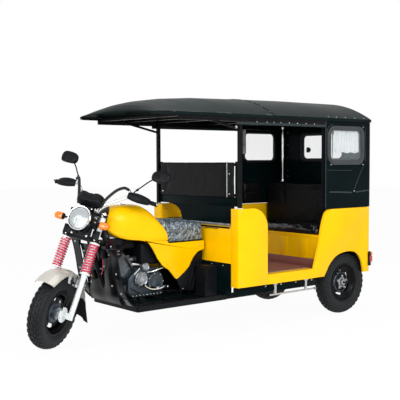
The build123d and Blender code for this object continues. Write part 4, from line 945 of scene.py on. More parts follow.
tank = Shape("tank_shell", "body", [yellow, chrome, gloss_black, steel_black], "yellow_paint",
             ["fuel_tank"])
tank_rows = []
for step in range(61):
    share = step / 60
    distance = -0.930 + 0.530 * share**1.15
    half, low, high = (profile_value(tank_stations, distance, column) for column in (1, 2, 3))
    ring = [Vector((half * x, back(distance), low + (high - low) * h)) for x, h in tank_section]
    ring += [Vector((-p.x, p.y, p.z)) for p in reversed(ring[1:-1])]
    # The rear end leans with the seat's front
    for p in ring:
        p.y -= 0.075 * share**6 * max(0.0, p.z - 0.80) / 0.13
    tank_rows.append(ring)
tank.rings(tank_rows, yellow)
lip = 6
for side_index in (lip, len(tank_rows[0]) - lip):
    tank.tube([row[side_index] for row in tank_rows[2:]], 0.0035, yellow, 8)
# Filler cap with its hinge and lock
cap = look((0, back(-0.735), 1.0555), (0, 0.02, 1))
tank.lathe([(0.041, -0.004), (0.041, 0.0015), (0.036, 0.004), (0.0345, 0.006), (0.026, 0.0068),
            (0.0001, 0.0074)], chrome, 48, place=cap)
tank.lathe([(0.0085, 0.0065), (0.0085, 0.0095), (0.0001, 0.0100)], gloss_black, 20, place=cap)
tank.box((-0.010, -0.046, -0.001), (0.010, -0.034, 0.006), 0.002, chrome, place=cap)
# Fuel tap under the left side
tank.tube(stations((0.062, -0.60, 0.772), (0.062, -0.60, 0.742)), 0.0095, steel_black, 16)
tank.tube(stations((0.062, -0.60, 0.750), (0.086, -0.60, 0.748)), 0.0055, chrome, 12)
tank.done(40)

cover_outline = (
    (-0.640, 0.7700), (-0.600, 0.7665), (-0.560, 0.7630), (-0.470, 0.7600), (-0.404, 0.7595),
    (-0.388, 0.7366), (-0.019, 0.7366), (-0.019, 0.662), (-0.084, 0.650), (-0.138, 0.604), (-0.181, 0.532),
    (-0.223, 0.494), (-0.300, 0.440), (-0.316, 0.437), (-0.347, 0.473), (-0.387, 0.518), (-0.448, 0.556),
    (-0.497, 0.616), (-0.546, 0.700), (-0.584, 0.751))


side_covers = Shape("side_cover_panels", "body", [yellow, steel], "yellow_paint", ["side_covers"])
cover_line = rounded_outline(cover_outline, 0.016)
for sign in (-1, 1):
    crowned_plate(side_covers, cover_line, 0.1542, 0.1675, sign)
    # Two pressed lines, a fixing screw and a lock
    for line in (((-0.405, 0.655), (-0.330, 0.690), (-0.262, 0.700), (-0.205, 0.672)),
                 ((-0.350, 0.585), (-0.310, 0.560), (-0.262, 0.563))):
        path = [Vector((sign * 0.1673, back(y), z)) for y, z in line]
        side_covers.tube(smooth_line(path, 8), 0.0011, yellow, 8)
    side_covers.bolt((sign * 0.1675, back(-0.300), 0.470), (sign, 0, 0), 0.0055, steel, domed=True)
    side_covers.bolt((sign * 0.1675, back(-0.075), 0.700), (sign, 0, 0), 0.0065, steel, domed=True)
side_covers.done(30)

rear_covers = Shape("rear_cover_panels", "body", [plastic_black, steel], "black_plastic", ["rear_covers"])
rear_cover_outline = rounded_outline(((-0.310, 0.452), (-0.250, 0.332), (-0.026, 0.332), (-0.026, 0.678),
                                      (-0.084, 0.663), (-0.181, 0.550), (-0.223, 0.512)), 0.012)
for sign in (-1, 1):
    crowned_plate(rear_covers, rear_cover_outline, 0.1345, 0.1505, sign, plastic_black, 0.004)
    for k in range(4):
        low, high = Vector((-0.255 + 0.040 * k,
                            0.385 - 0.012 * k)), Vector((-0.190 + 0.040 * k, 0.495 + 0.028 * k))
        rear_covers.tube(stations((sign * 0.1503, low.x, low.y), (sign * 0.1503, high.x, high.y)), 0.0035,
                         plastic_black, 8)
    rear_covers.bolt((sign * 0.1505, back(-0.236), 0.350), (sign, 0, 0), 0.006, steel, domed=True)
rear_covers.done(30)

# Black apron between the leg guards, hung on the down tube, with its fixings
apron = Shape("front_apron", "body", [gloss_black, steel, steel_black, brass, spring_red], "black_gloss")
apron_line = smooth_line(stations((0, -0.985, 0.752), (0, -0.958, 0.660), (0, -0.946, 0.570),
                          (0, -0.928, 0.480), (0, -0.914, 0.410), (0, -0.908, 0.350),
                          (0, -0.880, 0.296)), 6)
rows = []
across_steps, apron_half = 24, 0.216
for depth in (0.0, 0.003):
    for i, p in enumerate(apron_line) if depth == 0.0 else reversed(list(enumerate(apron_line))):
        bulge = math.sin(math.pi * i / (len(apron_line) - 1))
        row = []
        for k in range(across_steps + 1):
            x = -apron_half + 2 * apron_half * k / across_steps
            pressed = 0.005 * math.cos(tau * x / apron_half) * bulge
            row.append(p + Vector((x, pressed + depth, 0)))
        rows.append(row)
apron.rings(rows, gloss_black, closed=False, loop=True)
for side_index in (0, across_steps):
    edge_line = [row[side_index] for row in rows[:len(apron_line)]]
    apron.tube(edge_line, 0.0045, gloss_black, 8)
for x, z, y in ((0.086, 0.590, -0.950), (0.030, 0.566, -0.945), (0.150, 0.442, -0.920),
                (-0.150, 0.600, -0.950), (-0.150, 0.442, -0.920), (0.180, 0.690, -0.966),
                (-0.180, 0.690, -0.966)):
    apron.bolt((x, back(y) - 0.003, z), (0, -1, 0.35), 0.0072, steel)
# Horn on the left of the down tube and the ignition coil's box on the right
horn = look((-0.085, back(-0.936), 0.505), (0, -1, -0.15))
apron.lathe([(0.0001, 0.0), (0.020, 0.002), (0.036, 0.010), (0.0385, 0.016), (0.0385, 0.021),
             (0.034, 0.023), (0.030, 0.0215), (0.018, 0.024), (0.0001, 0.0245)], steel_black, 40,
            place=horn)
apron.lathe([(0.0085, 0.024), (0.0085, 0.029), (0.0001, 0.030)], brass, 16, place=horn)
apron.box((0.070, back(-0.962), 0.655), (0.135, back(-0.985), 0.725), 0.006, steel_black)
apron.tube(smooth_line(stations((0.100, -0.975, 0.660), (0.096, -0.972, 0.610), (0.070, -0.958, 0.560),
                        (0.030, -0.945, 0.520)), 6), 0.0035, spring_red, 8)
apron.done(35)

# Bead round each leg guard, and the bolts that hold it
guard_trim = Shape("guard_trim", "body", [gloss_black, steel, steel_black], "black_gloss")
guard_path = smooth_line(stations((0, -1.019, 0.806), (0, -0.994, 0.736), (0, -0.972, 0.630),
                          (0, -0.952, 0.512), (0, -0.930, 0.440), (0, -0.905, 0.375),
                          (0, -0.872, 0.326), (0, -0.826, 0.2895), (0, -0.760, 0.2852)), 6)
for sign in (-1, 1):
    for x in (0.214, 0.312):
        guard_trim.tube([p + Vector((sign * x, 0.001, 0)) for p in guard_path], 0.0042, gloss_black, 10)
    for share in (0.10, 0.34, 0.60):
        p = guard_path[int(share * (len(guard_path) - 1))]
        guard_trim.bolt(p + Vector((sign * 0.263, -0.002, 0)), (0, -1, 0.25), 0.0075, steel, domed=True)
    # Ribbed rubber pad on the footboard
    guard_trim.box((sign * 0.222, back(-0.770), 0.2865), (sign * 0.306, back(-0.205), 0.2920), 0.002,
                   steel_black)
    for k in range(12):
        y = back(-0.745 + 0.047 * k)
        guard_trim.box((sign * 0.228, y - 0.009, 0.2915), (sign * 0.300, y + 0.009, 0.2955), 0.0018,
                       steel_black, 1)
guard_trim.done(35)

# Mud flap: a ribbed rubber sheet that widens downwards, its lower edge hollowed
flap = Shape("mud_flap_sheet", "fork", [soft_rubber, steel], "soft_rubber", ["mud_flap"], fork_frame)
flap_lean = math.radians(14)
flap_place = Matrix.Translation((0, 0.214, 0.171)) @ Matrix.Rotation(flap_lean - math.pi / 2, 4, "X")
flap_bottom = [(0.096 * math.cos(a), 0.168 - 0.034 * math.sin(a))
               for a in (math.pi * k / 14 for k in range(15))]
flap_line = [Vector((-0.076, 0.006)), Vector((0.076, 0.006)), Vector((0.100, 0.080)),
             Vector((0.138, 0.178))]
flap_line += [Vector(p) for p in flap_bottom] + [Vector((-0.138, 0.178)), Vector((-0.100, 0.080))]
flap.rings([[Vector((p.x, p.y, z)) for p in inset_outline(flap_line, inset)]
            for inset, z in ((0.0008, 0.0), (0.0, 0.0010), (0.0, 0.0030), (0.0008, 0.0040))],
           soft_rubber, place=flap_place)
for k in range(-3, 4):
    flap.tube([(0.018 * k, 0.030, 0.0040), (0.021 * k, 0.126, 0.0040)], 0.0018, soft_rubber, 8,
              place=flap_place)
for x in (-0.050, 0.0, 0.050):
    flap.bolt((x, 0.018, 0.0040), (0, 0, 1), 0.0055, steel, place=flap_place)
flap.done(30)

# --- Engine ------------------------------------------------------------------------------------------

case_side, carburettor_z = 0.105, 0.612
motor = Shape("engine_unit", "body", [alloy, dark_alloy, steel, steel_black, chrome, soft_rubber],
              "engine_metal", ["engine"])
case_outline = rounded_outline(((-0.715, 0.315), (-0.420, 0.315), (-0.400, 0.375), (-0.400, 0.470),
                                (-0.470, 0.545), (-0.635, 0.560), (-0.745, 0.470), (-0.745, 0.365)), 0.026)
for sign in (1, -1):
    crowned_plate(motor, case_outline, 0.0, case_side, sign, dark_alloy, 0.010)
motor.rings([[Vector((x, back(p.x), p.y)) for p in inset_outline(case_outline, -0.0035)]
             for x in (-0.005, 0.005)], alloy)
# Cylinder, its fins and the head, leaning forward
lean_angle = math.radians(42)
barrel = Matrix.Translation((0, back(-0.700), 0.500)) @ Matrix.Rotation(lean_angle, 4, "X")
motor.box((-0.060, -0.061, 0.0), (0.060, 0.061, 0.052), 0.008, dark_alloy, place=barrel)
motor.lathe([(0.044, 0.04), (0.044, 0.172)], dark_alloy, 40, place=barrel)
for fin in range(12):
    z = 0.056 + 0.0100 * fin
    half_x, half_y = (0.083, 0.078) if fin < 9 else (0.078, 0.074)
    outline = rounded_outline(((-half_x, -half_y), (half_x, -half_y), (half_x, half_y), (-half_x, half_y)),
                              0.024, 4)
    motor.rings([[Vector((p.x, p.y, z + dz)) for p in inset_outline(outline, inset)]
                 for inset, dz in ((0.0015, 0.0), (0.0, 0.0008), (0.0, 0.0030), (0.0015, 0.0038))],
                alloy, place=barrel)
motor.box((-0.046, -0.055, 0.165), (0.046, 0.055, 0.2115), 0.010, alloy, 3, place=barrel)
for sign in (-1, 1):
    # Rocker covers, each under two bolts, and the cylinder's through bolts
    motor.box((-0.026, sign * 0.046, 0.172), (0.026, sign * 0.0735, 0.203), 0.008, alloy, 3, place=barrel)
    for dx in (-0.016, 0.016):
        motor.bolt((dx, sign * 0.0735, 0.188), (0, sign, 0), 0.0048, steel, place=barrel)
    for dy in (-0.036, 0.036):
        motor.bolt((sign * 0.034, dy, 0.2112), (0, 0, 1), 0.0062, steel, place=barrel)
motor.tube([barrel @ Vector((0.044, 0.012, 0.176)), barrel @ Vector((0.075, 0.016, 0.186))],
           [0.008, 0.0065], soft_rubber, 14)
motor.tube(smooth_line([barrel @ Vector((0.070, 0.016, 0.186)), (0.094, back(-0.800), 0.685),
                        (0.080, back(-0.770), 0.735), (0.050, back(-0.720), 0.758)], 6), 0.0034,
           soft_rubber, 8)
# Left side: clutch cover with a rolled rim and a plain boss, gearbox cover and inspection cap
clutch = look((case_side, back(-0.635), 0.462), (1, 0, 0))
motor.lathe([(0.062, -0.002), (0.062, 0.020), (0.0585, 0.026), (0.0545, 0.028), (0.0535, 0.036),
             (0.0500, 0.0405), (0.0440, 0.042), (0.0400, 0.0395), (0.0360, 0.0390), (0.0330, 0.0440),
             (0.0150, 0.0465), (0.0001, 0.047)], alloy, 64, place=clutch)
for k in range(6):
    a = tau * k / 6 + 0.3
    motor.bolt((0.0565 * math.cos(a), 0.0565 * math.sin(a), 0.0265), (0, 0, 1), 0.0042, steel, place=clutch)
motor.lathe([(0.0085, 0.046), (0.0085, 0.0495), (0.0001, 0.0500)], steel, 20, place=clutch)
gearbox = look((case_side, back(-0.490), 0.430), (1, 0, 0))
motor.lathe([(0.078, -0.002), (0.078, 0.014), (0.0745, 0.020), (0.0650, 0.0225), (0.0620, 0.0195),
             (0.0500, 0.0190), (0.0460, 0.0230), (0.0200, 0.0255), (0.0001, 0.0258)], dark_alloy, 64,
            place=gearbox)
for k in range(7):
    a = tau * k / 7 + 0.1
    motor.bolt((0.0700 * math.cos(a), 0.0700 * math.sin(a), 0.0205), (0, 0, 1), 0.0042, steel,
               place=gearbox)
small = look((0.103, back(-0.585), 0.556), (1, 0, 0.15))
motor.lathe([(0.033, -0.030), (0.033, 0.014), (0.029, 0.019), (0.026, 0.0175), (0.022, 0.0215),
             (0.0001, 0.0225)], alloy, 40, place=small)
# Starter motor across the front, with its lead
motor.tube(stations((-0.050, -0.742, 0.395), (0.075, -0.742, 0.395)), [0.026, 0.026], dark_alloy, 28)
motor.tube(smooth_line(stations((0.076, -0.742, 0.395), (0.098, -0.735, 0.400), (0.112, -0.705, 0.385),
                        (0.118, -0.650, 0.352)), 5), 0.0040, soft_rubber, 8)
# Bright pipe and rubber hose above the gearbox
motor.tube(smooth_line(stations((0.100, -0.560, 0.510), (0.128, -0.520, 0.517), (0.140, -0.470, 0.533),
                        (0.138, -0.425, 0.540), (0.120, -0.395, 0.528)), 7), 0.0062, chrome, 12)
motor.tube(smooth_line(stations((0.096, -0.545, 0.540), (0.112, -0.500, 0.548), (0.118, -0.450, 0.560),
                        (0.100, -0.405, 0.575)), 6), 0.0048, soft_rubber, 10)
# Right side: magneto cover and kick-start stub
magneto = look((-case_side, back(-0.600), 0.450), (-1, 0, 0))
motor.lathe([(0.082, -0.002), (0.082, 0.020), (0.078, 0.028), (0.062, 0.034), (0.058, 0.031),
             (0.040, 0.032), (0.034, 0.038), (0.0001, 0.040)], alloy, 64, place=magneto)
for k in range(7):
    a = tau * k / 7
    motor.bolt((0.074 * math.cos(a), 0.074 * math.sin(a), 0.029), (0, 0, 1), 0.0044, steel, place=magneto)
# Carburettor with its bell, bowl and top
motor.tube(stations((0, -0.750, carburettor_z), (0, -0.715, carburettor_z), (0, -0.713, carburettor_z),
                    (0, -0.662, carburettor_z), (0, -0.660, carburettor_z), (0, -0.620, carburettor_z)),
           [0.017, 0.017, 0.0215, 0.0215, 0.0175, 0.0205], alloy, 28)
motor.lathe([(0.0001, -0.037), (0.014, -0.036), (0.0195, -0.030), (0.0195, 0.0), (0.0180, 0.020),
             (0.0195, 0.030), (0.0175, 0.036), (0.0001, 0.038)], dark_alloy, 32,
            place=look((0, back(-0.680), carburettor_z), (0, 0, 1)))
motor.tube(stations((0, -0.460, 0.350), (0, -0.400, 0.350)), 0.032, dark_alloy, 32)
for k in range(9):
    y = -0.700 + 0.034 * k
    motor.bolt((0.1045, back(y), 0.330), (1, 0, 0), 0.0046, steel)
# Cable clips and small pipes that clutter the left side
for start, end, radius, finish in (
        ((0.085, back(-0.700), 0.540), (0.092, back(-0.760), 0.640), 0.0055, steel_black),
        ((0.108, back(-0.690), 0.505), (0.108, back(-0.640), 0.545), 0.0050, chrome),
        ((0.108, back(-0.545), 0.500), (0.110, back(-0.480), 0.520), 0.0055, steel_black),
        ((0.126, back(-0.560), 0.395), (0.126, back(-0.440), 0.372), 0.0045, steel_black)):
    motor.tube([start, Vector(start).lerp(Vector(end), 0.5) + Vector((0.006, 0, 0.004)), end], radius,
               finish, 10)
motor.done(35)

pedal_x = 0.164
levers_low = Shape("gear_lever", "body", [chrome, steel, soft_rubber], "bright_chrome", ["foot_levers"])
levers_low.tube(stations((0.1315, -0.500, 0.386), (0.168, -0.500, 0.386)), 0.0085, steel, 20)
gear_path = smooth_line(stations((pedal_x, -0.655, 0.4245), (pedal_x, -0.625, 0.4100),
                                 (pedal_x, -0.575, 0.3850), (pedal_x, -0.535, 0.3780),
                                 (pedal_x, -0.490, 0.3790), (pedal_x, -0.455, 0.3860),
                                 (pedal_x, -0.425, 0.3980)), 7)
levers_low.tube(gear_path, [0.0072 + 0.0020 * math.sin(math.pi * i / (len(gear_path) - 1))
                            for i in range(len(gear_path))], chrome, 14)
levers_low.lathe([(0.0085, 0.0), (0.0125, 0.001), (0.0125, 0.015), (0.0085, 0.016)], chrome, 24,
                 place=look((0.156, back(-0.500), 0.384), (1, 0, 0)))
for y, z in ((-0.648, 0.4215), (-0.432, 0.3965)):
    levers_low.tube(stations((0.166, y, z), (0.205, y, z)), 0.0062, chrome, 12)
    levers_low.lathe([(0.0062, 0), (0.0115, 0.001), (0.0115, 0.007), (0.0100, 0.009), (0.0115, 0.011),
                      (0.0115, 0.017), (0.0100, 0.019), (0.0115, 0.021), (0.0115, 0.027), (0.0100, 0.029),
                      (0.0062, 0.030)], soft_rubber, 20, place=look((0.1755, back(y), z), (1, 0, 0)))
levers_low.done(40)

# Black cover over the tank's nose, its edge swept back in the middle
nose_cover = Shape("tank_nose_cover", "body", [plastic_black, steel_black, soft_rubber], "black_plastic")
cover_rows = []
for step in range(17):
    ring = []
    for index, (x, h) in enumerate(tank_section + tuple((-x, h) for x, h in tank_section[-2:0:-1])):
        edge = -0.846 - 0.074 * abs(x)
        distance = -0.930 + (edge + 0.930) * step / 16
        half, low, high = (profile_value(tank_stations, distance, column) for column in (1, 2, 3))
        ring.append((x * (half + 0.0035), back(distance) - 0.003, low - 0.003 + (high - low + 0.006) * h))
    cover_rows.append(ring)
nose_cover.rings(cover_rows, plastic_black, caps=(True, False))
# Loom, hoses and a bracket under the tank's front, behind the steering head
nose_cover.box((-0.058, back(-0.925), 0.705), (0.058, back(-0.640), 0.786), 0.016, steel_black, 3)
nose_cover.box((0.060, back(-0.905), 0.742), (0.104, back(-0.790), 0.802), 0.012, plastic_black, 3)
for k, (x, drop, reach) in enumerate(((0.070, 0.115, 0.0), (0.092, 0.085, 0.020), (0.112, 0.060, -0.015),
                                      (-0.080, 0.100, 0.010))):
    nose_cover.tube(smooth_line(stations((x * 0.6, -0.935, 0.895), (x, -0.945 + reach, 0.850),
                                 (x * 1.1, -0.925 + reach, 0.800 - drop * 0.4),
                                 (x * 1.05, -0.870, 0.780 - drop), (x * 0.8, -0.780, 0.770 - drop)), 6),
                    0.0075 - 0.0008 * k, soft_rubber, 10)
nose_cover.done(35)

# Air box, its duct and the dark inner plates that fill the frame under the tank and the seat
air_box = Shape("air_box", "body", [plastic_black, steel_black, steel, soft_rubber], "black_plastic")
air_box.box((-0.098, back(-0.615), 0.572), (0.098, back(-0.425), 0.748), 0.018, plastic_black, 3)
air_box.box((-0.090, back(-0.425), 0.560), (0.090, back(-0.060), 0.726), 0.014, plastic_black, 3)
air_box.tube(stations((0, -0.640, carburettor_z), (0, -0.612, carburettor_z)), [0.026, 0.032], soft_rubber,
             28)
for k in range(4):
    air_box.box((0.096, back(-0.595 + 0.042 * k), 0.600), (0.1015, back(-0.575 + 0.042 * k), 0.722), 0.002,
                plastic_black)
air_box.box((-0.128, back(-0.862), 0.562), (-0.122, back(-0.560), 0.772), 0.002, steel_black)
for y, z in ((-0.845, 0.580), (-0.845, 0.750), (-0.600, 0.580), (-0.600, 0.750)):
    air_box.bolt((-0.128, back(y), z), (-1, 0, 0), 0.0065, steel)
air_box.done(35)

# Steering head's front: a dark bracket, the loom behind the lamp and the sleeves over the cables
head_front = Shape("steering_front", "fork", [plastic_black, steel_black, soft_rubber, steel],
                   "black_plastic", (), fork_frame)
head_front.box((-0.086, -0.073, 0.590), (0.086, -0.047, 0.694), 0.010, plastic_black, 3)
head_front.box((-0.110, -0.060, 0.578), (0.110, -0.040, 0.606), 0.006, steel_black, 2)
for sign in (-1, 1):
    head_front.box((sign * 0.094, -0.052, 0.600), (sign * 0.158, -0.043, 0.672), 0.004, plastic_black)
    head_front.bolt((sign * 0.066, -0.073, 0.612), (0, -1, 0), 0.0065, steel)
    sleeve = [bar(sign * 0.236, 0.030, 0.246), bar(sign * 0.206, 0.002, 0.248),
              bar(sign * 0.172, -0.030, 0.214), bar(sign * 0.140, -0.052, 0.158),
              bar(sign * 0.116, -0.064, 0.104), bar(sign * 0.098, -0.064, 0.040)]
    head_front.tube(smooth_line(sleeve, 8), 0.0115, soft_rubber, 14)
    for reach, drop in ((0.0, 0.0), (0.018, 0.030)):
        head_front.tube(smooth_line([bar(sign * (0.070 - reach), -0.058, 0.010),
                                     bar(sign * (0.092 - reach), -0.094, -0.040),
                                     (sign * (0.084 - reach), -0.100, fork_top - 0.110 - drop),
                                     (sign * (0.040 - reach), -0.080, fork_top - 0.160 - drop)], 6), 0.0060,
                        soft_rubber, 10)
head_front.done(35)

# Guards in front of the hands, bolted to the bar
hand_guards = Shape("hand_guards", "fork", [plastic_black, steel], "black_plastic", (), fork_frame)
for sign in (-1, 1):
    rows = []
    for skin in (0.0, 0.003):
        row_set = []
        for i in range(15):
            share = i / 14
            across = 0.236 + 0.178 * share
            tall = 0.036 * math.sin(math.pi * (0.16 + 0.70 * share)) ** 0.5
            row = []
            for k in range(9):
                v = -1 + 2 * k / 8
                row.append((sign * across, 0.030 + 0.030 * share**3 + 0.010 * v * v + skin,
                            fork_top + 0.207 - 0.012 * share + tall * v))
            row_set.append(row)
        rows.append(row_set)
    hand_guards.rings([front + rear[::-1] for front, rear in zip(*rows)], plastic_black)
    for across in (0.262, 0.300):
        hand_guards.tube([bar(sign * across, 0.034, 0.207), bar(sign * across, 0.084, 0.210)], 0.005, steel,
                         12)
hand_guards.done(35)

# --- Soft goods --------------------------------------------------------------------------------------


def evaluated(piece):
    """Replaces a piece's mesh by what its modifiers make of it."""
    graph = bpy.context.evaluated_depsgraph_get()
    made = bpy.data.meshes.new_from_object(piece.evaluated_get(graph), depsgraph=graph)
    made.name = piece.name
    piece.modifiers.clear()
    piece.data = made


def inflate(piece, voxel, seams, cap, room, pressure=4.0):
    """Remeshes a pad, swells it as cloth between its sewn seams, and rounds it.

    seams(point) is 1 where the cover is sewn down and 0 elsewhere; room is the box it stays in.
    """
    blocks = piece.modifiers.new("blocks", "REMESH")
    blocks.mode = "VOXEL"
    blocks.voxel_size = voxel
    blocks.use_smooth_shade = True
    evaluated(piece)
    data = piece.data
    start = [v.co.copy() for v in data.vertices]
    held = piece.vertex_groups.new(name="sewn")
    for v in data.vertices:
        share = seams(v.co)
        if share > 0:
            held.add([v.index], share, "REPLACE")
    cloth = piece.modifiers.new("cloth", "CLOTH")
    cloth.settings.quality = 6
    cloth.settings.mass = 0.3
    cloth.settings.tension_stiffness = 12
    cloth.settings.compression_stiffness = 12
    cloth.settings.shear_stiffness = 6
    cloth.settings.bending_stiffness = 0.6
    cloth.settings.use_pressure = True
    cloth.settings.uniform_pressure_force = pressure
    cloth.settings.vertex_group_mass = "sewn"
    cloth.settings.effector_weights.gravity = 0
    cloth.collision_settings.use_collision = False
    first, last = 1, 20
    cloth.point_cache.frame_start, cloth.point_cache.frame_end = first, last
    scene = bpy.context.scene
    for step in range(first, last + 1):
        scene.frame_set(step)
    evaluated(piece)
    scene.frame_set(first)
    low, high = room
    for v, at in zip(piece.data.vertices, start):
        move = v.co - at
        if move.length > cap:
            move *= cap / move.length
        moved = at + move
        v.co = Vector(max(low[k], min(high[k], moved[k])) for k in range(3))
    level = piece.modifiers.new("round", "SUBSURF")
    level.levels = level.render_levels = 1
    evaluated(piece)
    for face in piece.data.polygons:
        face.use_smooth = True


def crease(piece, amount, scale, seed, stretch=(1, 1, 1)):
    """Wrinkles a cover along its normals."""
    data = piece.data
    normals = [v.normal.copy() for v in data.vertices]
    for v, normal in zip(data.vertices, normals):
        at = Vector((v.co.x * stretch[0], v.co.y * stretch[1],
                     v.co.z * stretch[2])) * scale + Vector((seed, 0, 0))
        value = noise.noise(at) + 0.5 * noise.noise(at * 2.1 + Vector((7.3, 0, 0)))
        ridge = 0.5 - min(1.0, abs(value) * 2.2)
        v.co += normal * (amount * ridge)


def near_line(value, lines, half):
    """1 on the nearest of some lines, falling to 0 at half its width."""
    gap = min(abs(value - line) for line in lines)
    return max(0.0, 1 - gap / half)


def pad_piece(name, mat, node, parts, voxel, seams, cap, room, wrinkle):
    """A padded bench piece from rounded boxes, swollen and wrinkled."""
    shape = Shape(name, "body", [mat], "bench_cover", [node])
    for low, high, edge in parts:
        shape.box(low, high, edge, mat, 3)
    piece = shape.done(180)
    inflate(piece, voxel, seams, cap, room)
    crease(piece, *wrinkle)


# Rear bench: one long cushion in two sewn layers, its front edge rolled over the base
pad_piece(
    "bench_cushion", cushion_vinyl, "rear_bench_cushion",
    [((-0.538, 0.928, 0.7465), (0.538, 1.336, 0.813), 0.020),
     ((-0.538, 0.926, 0.7465), (0.538, 1.000, 0.806), 0.020)], 0.0125,
    lambda p: max(near_line(p.z, (0.783,), 0.008) * (p.y < 0.95), near_line(p.x, (-0.18, 0.18), 0.010)
                  * (p.z > 0.79)), 0.012, ((-0.543, 0.918, 0.7452), (0.543, 1.3395, 0.829)),
    (0.0032, 13, 3.0, (0.55, 1.6, 1.6)))
pad_piece(
    "bench_backrest", leather, "rear_backrest", [((-0.545, 1.348, 0.7465), (0.545, 1.3995, 1.184), 0.018)],
    0.0125, lambda p: max(near_line(p.x, (-0.275, 0.275), 0.010), near_line(p.z, (1.135,), 0.010))
    * (p.y < 1.37), 0.012, ((-0.5505, 1.3405, 0.7452), (0.5505, 1.4008, 1.192)),
    (0.0022, 9, 11.0, (0.8, 1, 1)))
for sign, side_name in ((1, "left"), (-1, "right")):
    low_x, high_x = sorted((sign * 0.5225, sign * 0.5495))
    pad_piece(
        f"side_pad_{side_name}", leather, "side_backrests",
        [((low_x, 1.030, 0.994), (high_x, 1.294, 1.188), 0.010)], 0.0070,
        lambda p: near_line(p.z, (1.090,), 0.008) * (abs(p.x) < 0.535), 0.008,
        ((min(sign * 0.514, sign * 0.5507), 1.026, 0.990),
         (max(sign * 0.514, sign * 0.5507), 1.298, 1.192)), (0.0012, 16, 5.0))
pad_piece(
    "driver_backrest", leather, "front_backrest",
    [((-0.491, -0.0075, 1.099), (0.491, 0.0092, 1.391), 0.006)], 0.0080,
    lambda p: max(near_line(p.x, (-0.395, 0.395), 0.009), near_line(p.z, (1.115, 1.375), 0.009)), 0.007,
    ((-0.495, -0.013, 1.096), (0.495, 0.0106, 1.394)), (0.0010, 10, 21.0))
pad_piece(
    "front_bench_pad", leather, "front_bench",
    [((-0.546, 0.073, 0.838), (0.546, 0.271, 0.881), 0.012),
     ((-0.466, 0.001, 0.870), (0.466, 0.080, 0.8835), 0.005)], 0.0100,
    lambda p: near_line(p.x, (-0.27, 0.0, 0.27), 0.010) * (p.z > 0.872), 0.008,
    ((-0.5505, -0.002, 0.8352), (0.5505, 0.275, 0.889)), (0.0010, 12, 31.0))

# Driver's seat: a leathercloth pad still in its clear wrapping, whose pale silver streaks are painted
# highlights and reflections on the film
seat_side = rounded_outline(((-0.382, 0.7395), (-0.034, 0.7395), (-0.034, 0.866), (-0.064, 0.891),
                             (-0.200, 0.901), (-0.360, 0.915), (-0.440, 0.923), (-0.466, 0.910),
                             (-0.412, 0.800)), 0.022, 4)
saddle = Shape("saddle_pad", "body", [film_painted_glints], "seat_cover", ["driver_seat"])
saddle_rows = []
for x, inset in ((-0.165, 0.020), (-0.162, 0.008), (-0.152, 0.002), (-0.130, 0.0), (-0.06, 0.0), (0.0, 0.0),
                 (0.06, 0.0), (0.130, 0.0), (0.152, 0.002), (0.162, 0.008), (0.165, 0.020)):
    saddle_rows.append([Vector((x, back(p.x), p.y)) for p in inset_outline(seat_side, inset)])
saddle.rings(saddle_rows)
saddle_pad = saddle.done(180)
inflate(saddle_pad, 0.0072, lambda p: max(near_line(abs(p.x), (0.158,), 0.006) * (p.z > 0.87),
                                          (p.z < 0.745) * 1.0), 0.012,
        ((-0.170, -0.500, 0.7375), (0.170, -0.056, 0.932)), 5.0)
crease(saddle_pad, 0.0050, 34, 1.5)
crease(saddle_pad, 0.0024, 80, 8.5)
saddle_trim = Shape("saddle_trim", "body", [plastic_black], "black_plastic")
saddle_trim.box((-0.150, back(-0.372), 0.7372), (0.150, back(-0.040), 0.7440), 0.003, plastic_black)
for sign in (-1, 1):
    path = smooth_line(stations((sign * 0.168, -0.374, 0.748), (sign * 0.169, -0.200, 0.746),
                        (sign * 0.168, -0.040, 0.748)), 8)
    saddle_trim.tube(path, 0.0032, plastic_black, 8)
saddle_trim.done()

# Curtains: the left one drawn across the window, the right one pushed to the front and tied
curtain_top, curtain_low, wire_x = 1.704, 1.470, 0.5405


def curtain(name, start, end, x_middle, depth, low_wave, sign, folds=11):
    """A sheet gathered in folds between two stations of its wire, hemmed below; also its cut width."""
    shape = Shape(name, "body", [curtain_cloth], "curtain_cloth", ["curtains"])
    columns, levels = folds * 12, 22
    grid = []
    for level in range(levels + 1):
        drop = level / levels
        row = []
        for k in range(columns + 1):
            share = k / columns
            phase = (tau * folds * share + 0.7 * math.sin(5.1 * share + 0.8)
                     + 0.25 * drop * math.sin(11 * share))
            swing = depth * (0.80 + 0.20 * drop) * (0.75 + 0.25 * math.sin(9.0 * share + 1.1))
            y = start + (end - start) * share + 0.004 * drop * math.sin(phase * 0.5)
            bottom = curtain_low + low_wave * math.sin(3.3 * share * tau + 0.4) * 0.5
            z = curtain_top + (bottom - curtain_top) * drop
            row.append(Vector((sign * (x_middle + swing * math.sin(phase)), y, z)))
        grid.append(row)
    shape.rings(grid, closed=False)
    shape.tube(grid[-1], 0.0012, curtain_cloth, 6)
    return shape.done(180), sum((b - a).length for a, b in zip(grid[-1][:-1], grid[-1][1:]))


